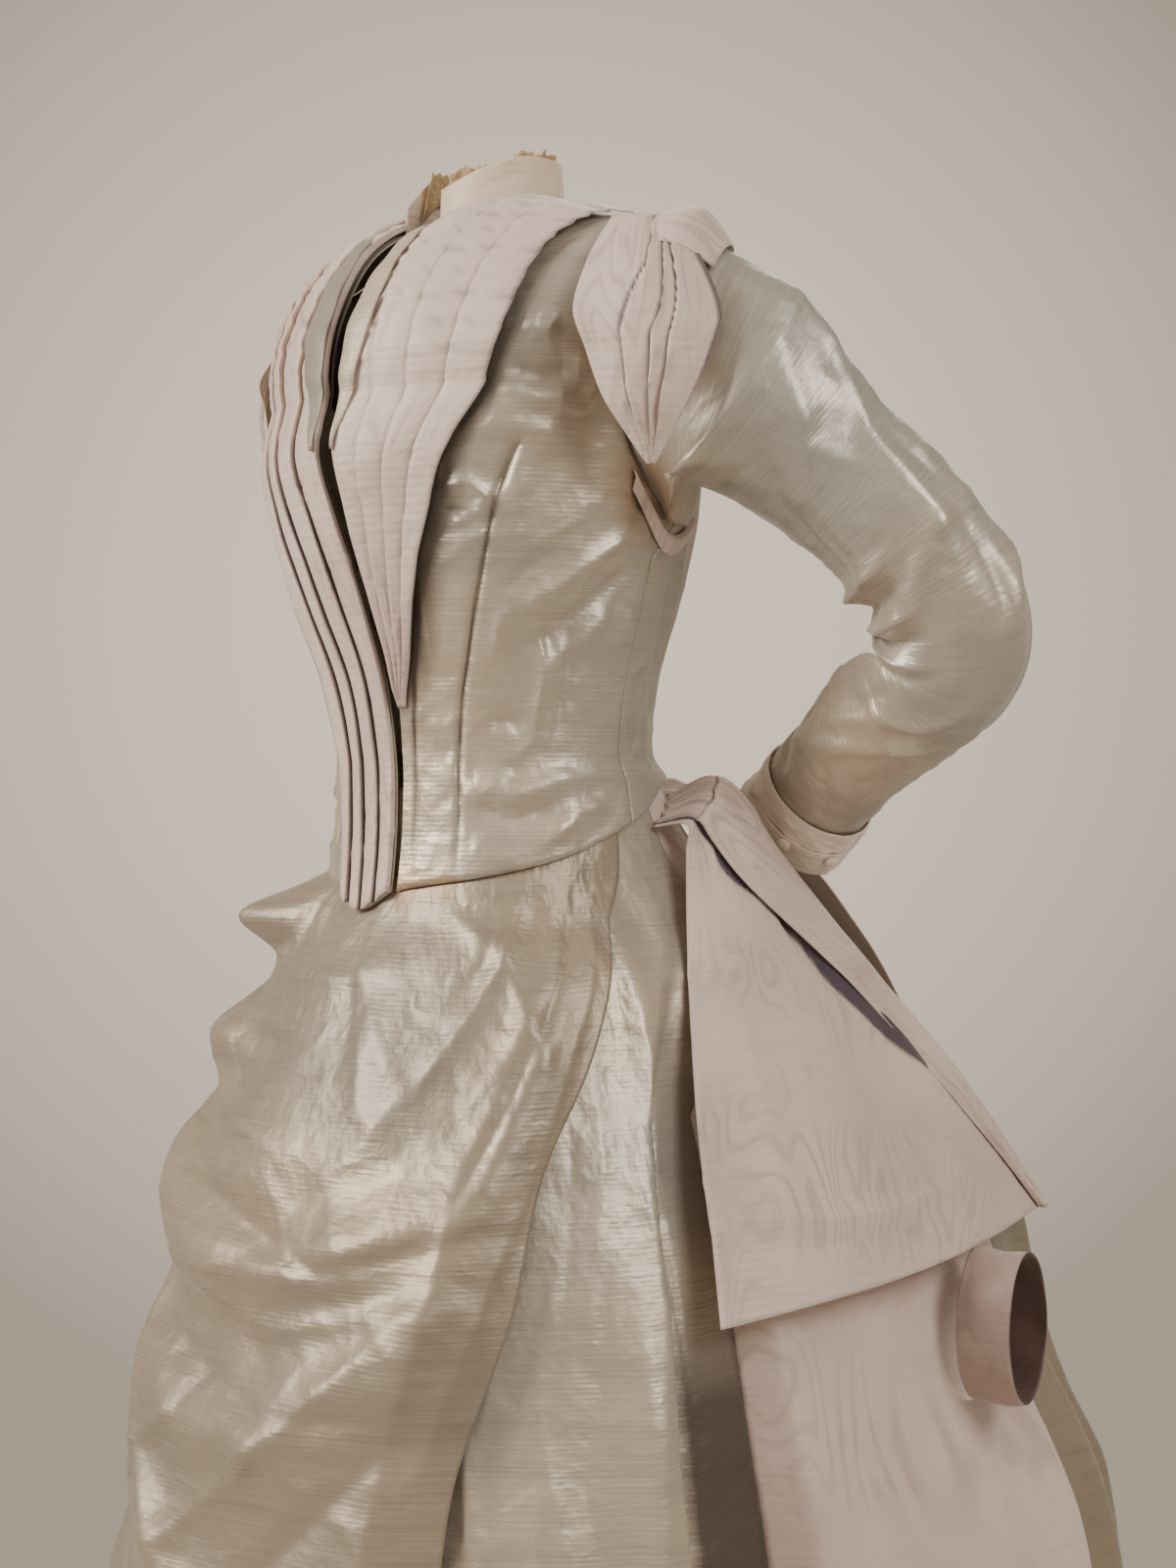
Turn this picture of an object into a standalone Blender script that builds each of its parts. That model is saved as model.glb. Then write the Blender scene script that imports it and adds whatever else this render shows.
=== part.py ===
"""Bustle dress of the 1880s: silver taffeta with lilac trims, worn shape, hollow.

Metres, +Z up. The origin is the centre of the waist, the front faces -Y and the
wearer's left is +X. Angles run round the body in degrees, 0 in front, 90 at the
left side and 180 behind. Each cloth piece is an open grid of outer points, thickened
inwards with Solidify.
"""
import bisect
import math
from collections import namedtuple

import bmesh
import bpy
from mathutils import Vector

# Driving sizes
CLOTH = 0.0012
OVERLAY = 0.0004
SHOULDER_ROOM = 0.0016
SEAM_ANGLE = 0.10
YOKE_LEVEL = 0.24
RIDGE_Y = 0.008
RIDGE_GAP = 0.0008
RIDGE_SPREAD = 1.187
RIDGE_LEVEL = 0.378
RIDGE_FALL = 0.24
NECK_RADIUS = 0.052
COLLAR_RADIUS = 0.0485
COLLAR_HEIGHT = 0.034
COLLAR_LEAN = 0.0015
COLLAR_ROOM = 0.0012
COLLAR_START = -2.0
COLLAR_END = 326.0
COLLAR_COLUMNS = 28
COLLAR_FALL_START = 300.0
COLLAR_FALL_SPAN = 26.0
COLLAR_FALL_OUT = 0.016
COLLAR_FALL_UP = 0.012
COLLAR_DROOP = 0.15
LACE_START = 2.0
LACE_END = 292.0
LACE_WAVES = 14
LACE_WAVE_STEPS = 4
LACE_SWING = 0.0035
LACE_INSIDE = 0.0048
LACE_FOOT = 0.018
LACE_HEIGHT = 0.032
LACE_THICK = 0.001
REVERS_CREST = 0.0026
BAND_CREST = 0.0032
CUFF_LENGTH = 0.046
CUFF_OVERLAP = 0.012
CUFF_EASE = 0.0004
CUFF_STEP = 0.0014
CUFF_FLARE = 0.0030
BUTTON_RADIUS = 0.0055
BUTTON_HEIGHT = 0.003
HEM_LEVEL = -1.02

# Colours as linear red, green, blue
SILVER = (0.36, 0.33, 0.28)
LILAC = (0.53, 0.45, 0.45)
BEIGE_LILAC = (0.54, 0.46, 0.41)
OLIVE_GREY = (0.22, 0.20, 0.17)
ECRU = (0.43, 0.31, 0.19)

BodyRow = namedtuple("BodyRow", "level half_width front back square")
TORSO = (
    BodyRow(-0.110, 0.128, 0.108, 0.150, 0.02),
    BodyRow(-0.060, 0.121, 0.102, 0.142, 0.03),
    BodyRow(-0.020, 0.116, 0.101, 0.130, 0.04),
    BodyRow(0.000, 0.113, 0.102, 0.112, 0.04),
    BodyRow(0.050, 0.121, 0.110, 0.110, 0.05),
    BodyRow(0.100, 0.135, 0.126, 0.118, 0.07),
    BodyRow(0.160, 0.148, 0.142, 0.128, 0.08),
    BodyRow(0.200, 0.152, 0.149, 0.129, 0.08),
    BodyRow(0.240, 0.157, 0.137, 0.127, 0.05),
)
SKIRT = (
    BodyRow(-1.020, 0.300, 0.240, 0.560, 0.08),
    BodyRow(-0.800, 0.282, 0.225, 0.540, 0.09),
    BodyRow(-0.637, 0.267, 0.216, 0.520, 0.11),
    BodyRow(-0.546, 0.256, 0.207, 0.500, 0.11),
    BodyRow(-0.449, 0.240, 0.197, 0.455, 0.10),
    BodyRow(-0.330, 0.215, 0.175, 0.415, 0.12),
    BodyRow(-0.220, 0.178, 0.148, 0.340, 0.17),
    BodyRow(-0.150, 0.152, 0.124, 0.265, 0.18),
    BodyRow(-0.110, 0.127, 0.1025, 0.215, 0.14),
    BodyRow(-0.070, 0.1160, 0.0975, 0.160, 0.07),
    BodyRow(-0.020, 0.1110, 0.0960, 0.120, 0.04),
)

HemRow = namedtuple("HemRow", "angle level")
BASQUE_HEM = (
    HemRow(-14.0, -0.092), HemRow(0.0, -0.106), HemRow(13.0, -0.094), HemRow(25.0, -0.089),
    HemRow(45.0, -0.083), HemRow(65.0, -0.075), HemRow(82.0, -0.066), HemRow(95.0, -0.056),
    HemRow(110.0, -0.041), HemRow(125.0, -0.021), HemRow(140.0, -0.015), HemRow(180.0, -0.014),
)

# Rows of the bodice: below the yoke a level, or a share of the way up from the hem to the
# waist; above it a share of the way over the shoulder.
CutRow = namedtuple(
    "CutRow", "kind at left_edge right_edge left_revers right_revers front_seam arm_back back_seam")
CUT = (
    CutRow("hem", 0.00, 15.0, -13.0, 17.0, 13.0, 104.0, 104.0, 141.0),
    CutRow("hem", 0.50, 16.0, -13.5, 18.0, 16.0, 104.0, 104.0, 139.0),
    CutRow("level", 0.000, 17.0, -14.0, 19.5, 18.5, 104.0, 104.0, 138.0),
    CutRow("level", 0.030, 17.2, -13.6, 20.5, 20.0, 104.0, 104.0, 136.0),
    CutRow("level", 0.065, 16.3, -12.5, 25.0, 23.0, 104.0, 104.0, 133.0),
    CutRow("level", 0.100, 14.6, -11.3, 29.0, 27.5, 104.0, 104.0, 130.0),
    CutRow("level", 0.130, 13.0, -9.6, 32.5, 32.0, 104.0, 104.0, 127.0),
    CutRow("level", 0.155, 12.0, -7.6, 36.0, 36.0, 112.0, 112.0, 128.0),
    CutRow("level", 0.175, 11.2, -6.0, 38.5, 38.5, 100.0, 122.0, 128.0),
    CutRow("level", 0.200, 10.2, -4.5, 42.5, 42.5, 91.0, 123.5, 127.0),
    CutRow("level", 0.240, 8.6, -3.0, 48.5, 48.5, 83.0, 119.0, 121.0),
    CutRow("over", 0.25, 8.4, -1.5, 51.0, 51.0, 78.0, 113.0, 113.0),
    CutRow("over", 0.50, 8.2, 1.5, 51.5, 51.5, 75.0, 109.0, 109.0),
    CutRow("over", 0.75, 6.0, 7.0, 52.5, 52.5, 73.0, 107.0, 107.0),
    CutRow("over", 1.00, 3.5, 12.0, 54.0, 54.0, 73.0, 107.0, 107.0),
)
ARMPIT_ROW = 7
ARMPIT_ANGLES = (107.0, 112.0, 117.0)
YOKE_ROW = 10
LEFT_REVERS_ROW = 3
REVERS_COLUMNS = 12
FACING_COLUMNS = 2
PLEATS = 4
CHEST_COLUMNS = 8
SIDE_COLUMNS = 4
BACK_COLUMNS = 6

SleeveRow = namedtuple("SleeveRow", "x y z out_x out_y out_z radius_out radius_side")
SLEEVE = (
    SleeveRow(0.205, 0.044, 0.243, 0.0, -0.1, 1.0, 0.076, 0.048),
    SleeveRow(0.222, 0.077, 0.216, 0.1, 0.1, 1.0, 0.060, 0.051),
    SleeveRow(0.238, 0.101, 0.190, 0.3, 0.3, 1.0, 0.053, 0.050),
    SleeveRow(0.259, 0.122, 0.165, 0.4, 0.4, 1.0, 0.051, 0.050),
    SleeveRow(0.277, 0.143, 0.135, 0.5, 0.6, 0.8, 0.050, 0.049),
    SleeveRow(0.288, 0.160, 0.103, 0.6, 0.7, 0.4, 0.050, 0.047),
    SleeveRow(0.286, 0.172, 0.075, 0.64, 0.77, 0.0, 0.050, 0.046),
    SleeveRow(0.268, 0.179, 0.053, 0.6, 0.7, -0.4, 0.048, 0.045),
    SleeveRow(0.240, 0.183, 0.038, 0.5, 0.5, -0.7, 0.045, 0.043),
    SleeveRow(0.197, 0.187, 0.018, 0.45, 0.5, -0.75, 0.043, 0.040),
    SleeveRow(0.155, 0.194, -0.008, 0.45, 0.5, -0.75, 0.041, 0.037),
    SleeveRow(0.122, 0.201, -0.031, 0.45, 0.5, -0.75, 0.040, 0.034),
)
SLEEVE_COLUMNS = 16
SLEEVE_LIFT = 0.0038
SLEEVE_SPREAD = 0.0012
SLEEVE_WRINKLE = 0.0018

# Folded strips at the armhole: a share across and a rise at each row.
StripRow = namedtuple("StripRow", "place rise")
SHOULDER_CAP = (
    StripRow(0.06, 0.0), StripRow(0.20, 0.006), StripRow(0.34, 0.004), StripRow(0.50, 0.0),
)
CAP_COLUMNS = (15, 14, 13)
CAP_ROOM = 0.0025
ARMHOLE_BAND = (
    StripRow(0.0, 0.0), StripRow(-0.004, 0.0022), StripRow(-0.009, 0.0012), StripRow(-0.014, 0.0),
)
BandPlace = namedtuple("BandPlace", "angle top")
ARMHOLE_BAND_PATH = (
    BandPlace(92.0, 0.188), BandPlace(97.0, 0.174), BandPlace(102.0, 0.161),
    BandPlace(107.0, 0.151), BandPlace(112.0, 0.1475), BandPlace(117.0, 0.151),
    BandPlace(122.0, 0.161),
)

FoldRow = namedtuple("FoldRow", "angle top bottom width height")
SIDE_FOLDS = (
    FoldRow(101.0, -0.06, -0.30, 4.0, 0.006), FoldRow(90.0, -0.05, -0.34, 4.5, 0.007),
    FoldRow(76.0, -0.30, -1.02, 5.0, 0.009), FoldRow(62.0, -0.45, -1.02, 6.0, 0.007),
    FoldRow(46.0, -0.60, -1.02, 6.0, 0.008),
)
LILAC_FOLDS = (
    FoldRow(100.0, -0.40, -1.02, 3.0, 0.008), FoldRow(118.0, -0.43, -1.02, 4.0, 0.014),
    FoldRow(130.0, -0.43, -1.02, 3.5, 0.012),
)
TRAIN_FOLDS = (
    FoldRow(140.0, -0.36, -1.02, 3.5, 0.018), FoldRow(151.0, -0.22, -1.02, 4.0, 0.022),
    FoldRow(162.0, -0.30, -1.02, 3.5, 0.020), FoldRow(172.0, -0.18, -1.02, 4.0, 0.024),
    FoldRow(184.0, -0.24, -1.02, 4.0, 0.022), FoldRow(195.0, -0.20, -1.02, 3.5, 0.020),
    FoldRow(206.0, -0.30, -1.02, 4.0, 0.024), FoldRow(218.0, -0.34, -1.02, 3.5, 0.018),
)
RIGHT_FOLDS = (
    FoldRow(230.0, -0.43, -1.02, 4.0, 0.014), FoldRow(244.0, -0.43, -1.02, 4.5, 0.012),
    FoldRow(262.0, -0.40, -1.02, 4.0, 0.010), FoldRow(282.0, -0.30, -1.02, 5.0, 0.010),
    FoldRow(306.0, -0.36, -1.02, 5.0, 0.032),
)

# Angles of the skirt's seams, and the deep fold behind the left side gore
FRONT_START = -48.0
SIDE_START = 34.0
RECESS_ANGLE = 96.0
BACK_START = 134.0
RIGHT_START = 226.0
RIGHT_END = 312.0
SKIRT_GAP = 0.06
LILAC_COLUMNS = 14
RECESS_DEPTH = 0.024

ApronRow = namedtuple("ApronRow", "level left_edge right_edge stand")
APRON = (
    ApronRow(-0.780, 30.0, -36.0, 0.030),
    ApronRow(-0.573, 38.0, -41.0, 0.026),
    ApronRow(-0.457, 42.0, -46.0, 0.024),
    ApronRow(-0.358, 51.0, -52.0, 0.022),
    ApronRow(-0.268, 58.5, -64.0, 0.020),
    ApronRow(-0.203, 71.0, -78.0, 0.014),
    ApronRow(-0.140, 83.0, -90.0, 0.008),
    ApronRow(-0.085, 95.0, -97.0, 0.003),
    ApronRow(-0.045, 99.0, -98.0, 0.0020),
)
# Folds of the apron: a ridge from one place to another, bowed down between them by a sag.
SwagRow = namedtuple("SwagRow", "angle_a level_a angle_b level_b sag width height")
SWAGS = (
    SwagRow(-100.0, -0.100, -22.0, -0.112, 0.004, 0.019, 0.052),
    SwagRow(-100.0, -0.175, -20.0, -0.190, 0.012, 0.020, 0.024),
    SwagRow(-95.0, -0.250, 10.0, -0.260, 0.030, 0.028, 0.008),
    SwagRow(-60.0, -0.240, 52.0, -0.262, 0.085, 0.022, 0.016),
    SwagRow(-46.0, -0.330, 44.0, -0.330, 0.110, 0.028, 0.013),
    SwagRow(93.0, -0.090, 40.0, -0.480, -0.020, 0.018, 0.011),
    SwagRow(70.0, -0.110, 30.0, -0.420, 0.010, 0.020, 0.012),
    SwagRow(-30.0, -0.400, 25.0, -0.700, 0.020, 0.026, 0.014),
    SwagRow(-38.0, -0.480, 5.0, -0.760, 0.020, 0.026, 0.013),
)
SWAG_STEPS = 10
EaseRow = namedtuple("EaseRow", "angle reach level drop share")
RIGHT_EASE = EaseRow(-20.0, 25.0, -0.25, 0.10, 0.6)
APRON_COLUMNS = 22
APRON_SEAT = 0.0035
APRON_TUCK_ROOM = 0.0014
APRON_TUCKS = (0.010, -0.0005)
APRON_DROPS = (
    0.014, 0.035, 0.060, 0.087, 0.117, 0.150, 0.187, 0.228, 0.275, 0.33, 0.40, 0.48, 0.57, 0.67,
    0.78, 0.89, 1.0,
)
SKIRT_LEVELS = (
    -0.024, -0.070, -0.110, -0.150, -0.205, -0.270, -0.350, -0.440, -0.560, -0.720, -0.880,
    HEM_LEVEL,
)

# Rows of the sash panel, from the waist down: its front edge, its back edge and how far
# its middle stands out.
SashRow = namedtuple("SashRow", "place front_x front_y front_z back_x back_y back_z bulge band")
SASH = (
    SashRow(0, 0.1100, 0.0575, -0.050, 0.0850, 0.0930, -0.030, 0.004, 0.05),
    SashRow(1, 0.1270, 0.074, -0.049, 0.1180, 0.106, -0.015, 0.005, 0.10),
    SashRow(2, 0.1310, 0.070, -0.068, 0.1240, 0.133, -0.032, 0.007, 0.25),
    SashRow(3, 0.1430, 0.060, -0.114, 0.1330, 0.156, -0.067, 0.010, 0.50),
    SashRow(4, 0.1690, 0.040, -0.177, 0.1360, 0.238, -0.146, 0.016, 0.76),
    SashRow(5, 0.1990, 0.020, -0.250, 0.1480, 0.312, -0.221, 0.022, 0.86),
    SashRow(6, 0.2240, 0.010, -0.322, 0.1700, 0.346, -0.279, 0.026, 0.93),
    SashRow(7, 0.2380, 0.004, -0.369, 0.1930, 0.368, -0.330, 0.030, 0.97),
)
SASH_ROWS = 14
SASH_COLUMNS = 8
BAND_COLUMNS = 3
BAND_FIRST_ROW = 2
BAND_LIFT = 0.0029

EpauletteRow = namedtuple("EpauletteRow", "front_x front_y back_x back_y level bulge")
EPAULETTE = (
    EpauletteRow(0.1600, -0.020, 0.1900, 0.012, 0.3500, 0.004),
    EpauletteRow(0.1660, -0.044, 0.2130, 0.008, 0.322, 0.010),
    EpauletteRow(0.1700, -0.062, 0.2330, 0.008, 0.284, 0.016),
    EpauletteRow(0.1800, -0.060, 0.2330, 0.000, 0.255, 0.016),
    EpauletteRow(0.1870, -0.052, 0.2250, -0.010, 0.226, 0.012),
    EpauletteRow(0.1960, -0.038, 0.2120, -0.018, 0.200, 0.006),
    EpauletteRow(0.2020, -0.028, 0.2060, -0.024, 0.184, 0.001),
)
EPAULETTE_COLUMNS = 10
EPAULETTE_CREST = 0.0022

PuffRow = namedtuple("PuffRow", "half_width y level")
SASH_PUFF = (
    PuffRow(0.022, 0.1278, -0.030), PuffRow(0.027, 0.165, -0.031), PuffRow(0.034, 0.212, -0.045),
    PuffRow(0.056, 0.262, -0.080), PuffRow(0.070, 0.296, -0.122), PuffRow(0.078, 0.322, -0.160),
    PuffRow(0.080, 0.356, -0.215),
)
PUFF_COLUMNS = 6

LOOP_CENTRE = (0.2500, 0.258, -0.3967)
LOOP_TALL = 0.052
LOOP_WIDE = 0.030
LOOP_DEEP = 0.040
LOOP_STEPS = 16


def along(rows, column, key, value):
    """Value of a table's column where its key column, which rises, has the given value."""
    keys = [getattr(row, key) for row in rows]
    values = [getattr(row, column) for row in rows]
    if value <= keys[0]:
        return values[0]
    if value >= keys[-1]:
        return values[-1]
    low = bisect.bisect_right(keys, value) - 1
    span = keys[low + 1] - keys[low]
    share = (value - keys[low]) / span

    def slope(index):
        first = max(index - 1, 0)
        last = min(index + 1, len(keys) - 1)
        return (values[last] - values[first]) / (keys[last] - keys[first]) * span

    square = share * share
    cube = square * share
    return (values[low] * (2 * cube - 3 * square + 1) + values[low + 1] * (3 * square - 2 * cube)
            + slope(low) * (cube - 2 * square + share) + slope(low + 1) * (cube - square))


def section_point(rows, angle, level, lift=0.0):
    """Point on the outline of a table's section, moved out level by a lift."""
    turn = math.radians(angle)
    front = math.cos(turn) > 0
    half_width = along(rows, "half_width", "level", level)
    depth = along(rows, "front" if front else "back", "level", level)
    square = along(rows, "square", "level", level)
    if front:
        square = 0.0
    swell = 1 + square * math.sin(2 * turn) ** 2
    x = half_width * swell * math.sin(turn)
    y = -depth * swell * math.cos(turn)
    out = Vector((math.sin(turn) * depth, -math.cos(turn) * half_width, 0)).normalized()
    return Vector((x, y, level)) + out * lift


def ridge_level(x, front):
    """Level of the shoulder line at a distance from the middle."""
    if abs(x) >= NECK_RADIUS:
        return RIDGE_LEVEL - RIDGE_FALL * (abs(x) - NECK_RADIUS)
    fall = -0.25 if front else 0.44
    return RIDGE_LEVEL + fall * (NECK_RADIUS - abs(x))


def over_share(angle):
    """Share of the way over the shoulder at which a column ends at neck or ridge."""
    base = section_point(TORSO, angle, YOKE_LEVEL)
    x = base.x * RIDGE_SPREAD
    if abs(x) >= NECK_RADIUS:
        return 1.0
    reach = math.sqrt(NECK_RADIUS ** 2 - x * x)
    return math.acos(reach / abs(base.y - RIDGE_Y)) / (math.pi / 2)


def yoke_point(angle, share, lift=0.0):
    """Point over the chest or shoulder blade, from the yoke level up to neck or ridge."""
    base = section_point(TORSO, angle, YOKE_LEVEL)
    front = math.cos(math.radians(angle)) > 0
    turn = share * over_share(angle) * math.pi / 2
    rise = math.sin(turn)
    x = base.x * (1 + (RIDGE_SPREAD - 1) * rise)
    seam_y = RIDGE_Y + (-RIDGE_GAP if front else RIDGE_GAP)
    y = seam_y + (base.y - seam_y) * math.cos(turn)
    z = YOKE_LEVEL + (ridge_level(base.x * RIDGE_SPREAD, front) - YOKE_LEVEL) * rise
    out = Vector((base.x * 0.6 * math.cos(turn), (base.y - RIDGE_Y) * math.cos(turn),
                  0.13 * rise + 0.01))
    return Vector((x, y, z)) + out.normalized() * lift


def cut_point(row, angle, lift=0.0):
    """Point of the bodice on one of the rows of its cut."""
    if row.kind == "over":
        return yoke_point(angle, row.at, lift)
    level = row.at
    if row.kind == "hem":
        level = along(BASQUE_HEM, "level", "angle", angle) * (1 - row.at)
    return section_point(TORSO, angle, level, lift)


def mirrored(rows):
    """The other side's grid, with its columns in order for an outward face."""
    return [[Vector((-p.x, p.y, p.z)) for p in reversed(row)] for row in rows]


def shares(count):
    """Even shares from 0 to 1."""
    return [step / count for step in range(count + 1)]


def material(name, colour, roughness):
    """A plain cloth colour."""
    look = bpy.data.materials.new(name)
    look.use_nodes = True
    shader = look.node_tree.nodes["Principled BSDF"]
    shader.inputs["Base Color"].default_value = (*colour, 1)
    shader.inputs["Roughness"].default_value = roughness
    look.diffuse_color = (*colour, 1)
    return look


def add_object(name, mesh, colour, roughness):
    """An object in the dress's collection with a material of its own."""
    mesh.materials.append(material(name + "_cloth", colour, roughness))
    piece = bpy.data.objects.new(name, mesh)
    bpy.data.collections["bustle_dress"].objects.link(piece)
    return piece


def grid_mesh(name, rows, closed=False):
    """Mesh of a grid of points, rows downwards and columns round to the left."""
    mesh = bpy.data.meshes.new(name)
    build = bmesh.new()
    grid = [[build.verts.new(point) for point in row] for row in rows]
    columns = len(rows[0])
    for upper, lower in zip(grid, grid[1:]):
        for column in range(columns if closed else columns - 1):
            after = (column + 1) % columns
            build.faces.new((upper[column], lower[column], lower[after], upper[after]))
    build.to_mesh(mesh)
    build.free()
    return mesh


def cloth(name, rows, colour, thickness=CLOTH, closed=False, roughness=0.45):
    """A cloth piece: its outer points, thickened inwards."""
    piece = add_object(name, grid_mesh(name, rows, closed), colour, roughness)
    wall = piece.modifiers.new("wall", "SOLIDIFY")
    wall.thickness = thickness
    wall.offset = -1
    return piece


def layered(name, outer, inner, colour, roughness=0.5):
    """A pleated piece between folded outer points and plain inner ones."""
    mesh = bpy.data.meshes.new(name)
    build = bmesh.new()
    top = [[build.verts.new(point) for point in row] for row in outer]
    under = [[build.verts.new(point) for point in row] for row in inner]
    for r in range(len(outer) - 1):
        for c in range(len(outer[0]) - 1):
            build.faces.new((top[r][c], top[r + 1][c], top[r + 1][c + 1], top[r][c + 1]))
            build.faces.new((under[r][c], under[r][c + 1], under[r + 1][c + 1], under[r + 1][c]))
    rim = ([(r, 0) for r in range(len(outer))]
           + [(len(outer) - 1, c) for c in range(1, len(outer[0]))]
           + [(r, len(outer[0]) - 1) for r in range(len(outer) - 2, -1, -1)]
           + [(0, c) for c in range(len(outer[0]) - 2, 0, -1)])
    for (r, c), (s, d) in zip(rim, rim[1:] + rim[:1]):
        build.faces.new((top[s][d], top[r][c], under[r][c], under[s][d]))
    build.to_mesh(mesh)
    build.free()
    return add_object(name, mesh, colour, roughness)


def warped(share, row, power=1.6):
    """Share across a bodice piece, drawn towards the middle of the body near the neck."""
    if row.kind != "over":
        return share
    return share + (share ** power - share) * row.at


def revers_angles(row, edge, outer):
    """Angles of the columns under a revers."""
    return [edge + (outer - edge) * warped(share, row) for share in shares(REVERS_COLUMNS)]


def front_angles(row, side):
    """Angles of all columns of a front, from the opening to the side seam or armhole."""
    edge = row.left_edge if side == "left" else row.right_edge
    outer = row.left_revers if side == "left" else row.right_revers
    end = row.front_seam - SEAM_ANGLE
    chest = [outer + (end - outer) * share for share in shares(CHEST_COLUMNS)]
    return revers_angles(row, edge, outer)[::2] + chest[1:]


def bodice_fronts():
    """Left and right fronts."""
    for side in ("left", "right"):
        rows = [[cut_point(row, angle) for angle in front_angles(row, side)]
                for row in reversed(CUT)]
        if side == "right":
            rows = mirrored(rows)
        cloth("bodice_front_" + side, rows, SILVER)


def bodice_sides():
    """Side back pieces, from the side seam back, up to a point in the armhole."""
    cut = CUT[:YOKE_ROW + 1]
    rows = []
    for row in reversed(cut):
        start = row.arm_back + SEAM_ANGLE
        end = row.back_seam - SEAM_ANGLE
        rows.append([cut_point(row, start + (end - start) * share)
                     for share in shares(SIDE_COLUMNS)])
    cloth("bodice_side_left", rows, SILVER)
    cloth("bodice_side_right", mirrored(rows), SILVER)


def bodice_backs():
    """Back pieces, with the short peplum cut in one."""
    rows = []
    for row in reversed(CUT):
        start = row.back_seam + SEAM_ANGLE
        end = 180.0 - SEAM_ANGLE
        across = [1 - warped(1 - share, row) for share in shares(BACK_COLUMNS)]
        rows.append([cut_point(row, start + (end - start) * share) for share in across])
    cloth("bodice_back_left", rows, SILVER)
    cloth("bodice_back_right", mirrored(rows), SILVER)


def pleat_lift(column, pleats, crest):
    """Height of a knife pleat over its base: it climbs across each pleat and drops at its edge."""
    steps = REVERS_COLUMNS // pleats
    if column == REVERS_COLUMNS:
        return 0.0
    return crest * (1 - (column % steps) / steps)


def overlay_base(row):
    """Room under a piece that lies on the bodice: a little more over the rounded shoulder."""
    return OVERLAY + (SHOULDER_ROOM if row.kind == "over" else 0.0)


def revers_columns(row, side):
    """Angles of a revers's columns on one side."""
    if side == "left":
        return revers_angles(row, row.left_edge, row.left_revers)
    return revers_angles(row, row.right_edge, row.right_revers)


def revers(side, first_row, pleats, crest):
    """A pleated revers on its front's own points, from the shoulder down."""
    outer = []
    inner = []
    for row in reversed(CUT[first_row:]):
        base = overlay_base(row)
        angles = revers_columns(row, side)
        outer.append([cut_point(row, angle, base + CLOTH + pleat_lift(column, pleats, crest))
                      for column, angle in enumerate(angles)])
        inner.append([cut_point(row, angle, base) for angle in angles])
    if side == "right":
        outer = mirrored(outer)
        inner = mirrored(inner)
    layered("revers_" + side, outer, inner, LILAC)


def lapel_facings():
    """Narrow turn-backs beside the opening, lying on the first pleat of each revers."""
    for side, crest in (("left", REVERS_CREST), ("right", BAND_CREST)):
        outer = []
        inner = []
        for row in reversed(CUT[YOKE_ROW - 1:-1]):
            lift = overlay_base(row) + CLOTH + OVERLAY
            angles = revers_columns(row, side)[:FACING_COLUMNS + 1]
            heights = [lift + pleat_lift(column, PLEATS, crest) for column in range(len(angles))]
            inner.append([cut_point(row, angle, height) for angle, height in zip(angles, heights)])
            outer.append([cut_point(row, angle, height + CLOTH)
                          for angle, height in zip(angles, heights)])
        if side == "right":
            outer = mirrored(outer)
            inner = mirrored(inner)
        layered("lapel_facing_" + side, outer, inner, OLIVE_GREY)


def neck_level(angle):
    """Level of the bodice's neck edge at an angle round the neck."""
    x = NECK_RADIUS * abs(math.sin(math.radians(angle)))
    front = math.cos(math.radians(angle)) > 0
    reach = TORSO[-1].front if front else TORSO[-1].back
    turn = math.acos(math.sqrt(NECK_RADIUS ** 2 - x * x) / (reach + RIDGE_Y))
    return YOKE_LEVEL + (ridge_level(x, front) - YOKE_LEVEL) * math.sin(turn)


def neck_point(angle, radius, height):
    """Point at an angle round the neck, at a height over the neck edge."""
    turn = math.radians(angle)
    return Vector((radius * math.sin(turn), RIDGE_Y - radius * math.cos(turn),
                   neck_level(angle) + height))


def collar():
    """Stand collar, its right end fallen open in front."""
    rows = []
    for height in (1.0, 0.5, 0.0):
        row = []
        for share in shares(COLLAR_COLUMNS):
            angle = COLLAR_START + (COLLAR_END - COLLAR_START) * share
            fall = max(0.0, (angle - COLLAR_FALL_START) / COLLAR_FALL_SPAN) ** 2
            radius = COLLAR_RADIUS - COLLAR_LEAN * height + COLLAR_FALL_OUT * fall
            stand = COLLAR_HEIGHT * height * (1 - COLLAR_DROOP * fall)
            row.append(neck_point(angle, radius, COLLAR_ROOM + stand + COLLAR_FALL_UP * fall))
        rows.append(row)
    cloth("collar", rows, BEIGE_LILAC)


def neck_lace():
    """Frill inside the collar, in small waves, standing above it."""
    rows = []
    for height, swing in ((1.0, 1.0), (0.0, 0.15)):
        row = []
        for share in shares(LACE_WAVES * LACE_WAVE_STEPS):
            angle = LACE_START + (LACE_END - LACE_START) * share
            wave = LACE_SWING * swing * math.sin(math.tau * LACE_WAVES * share)
            radius = COLLAR_RADIUS - LACE_INSIDE - COLLAR_LEAN * height + wave
            row.append(neck_point(angle, radius, LACE_FOOT + LACE_HEIGHT * height))
        rows.append(row)
    cloth("neck_lace", rows, ECRU, thickness=LACE_THICK, roughness=0.9)


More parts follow.
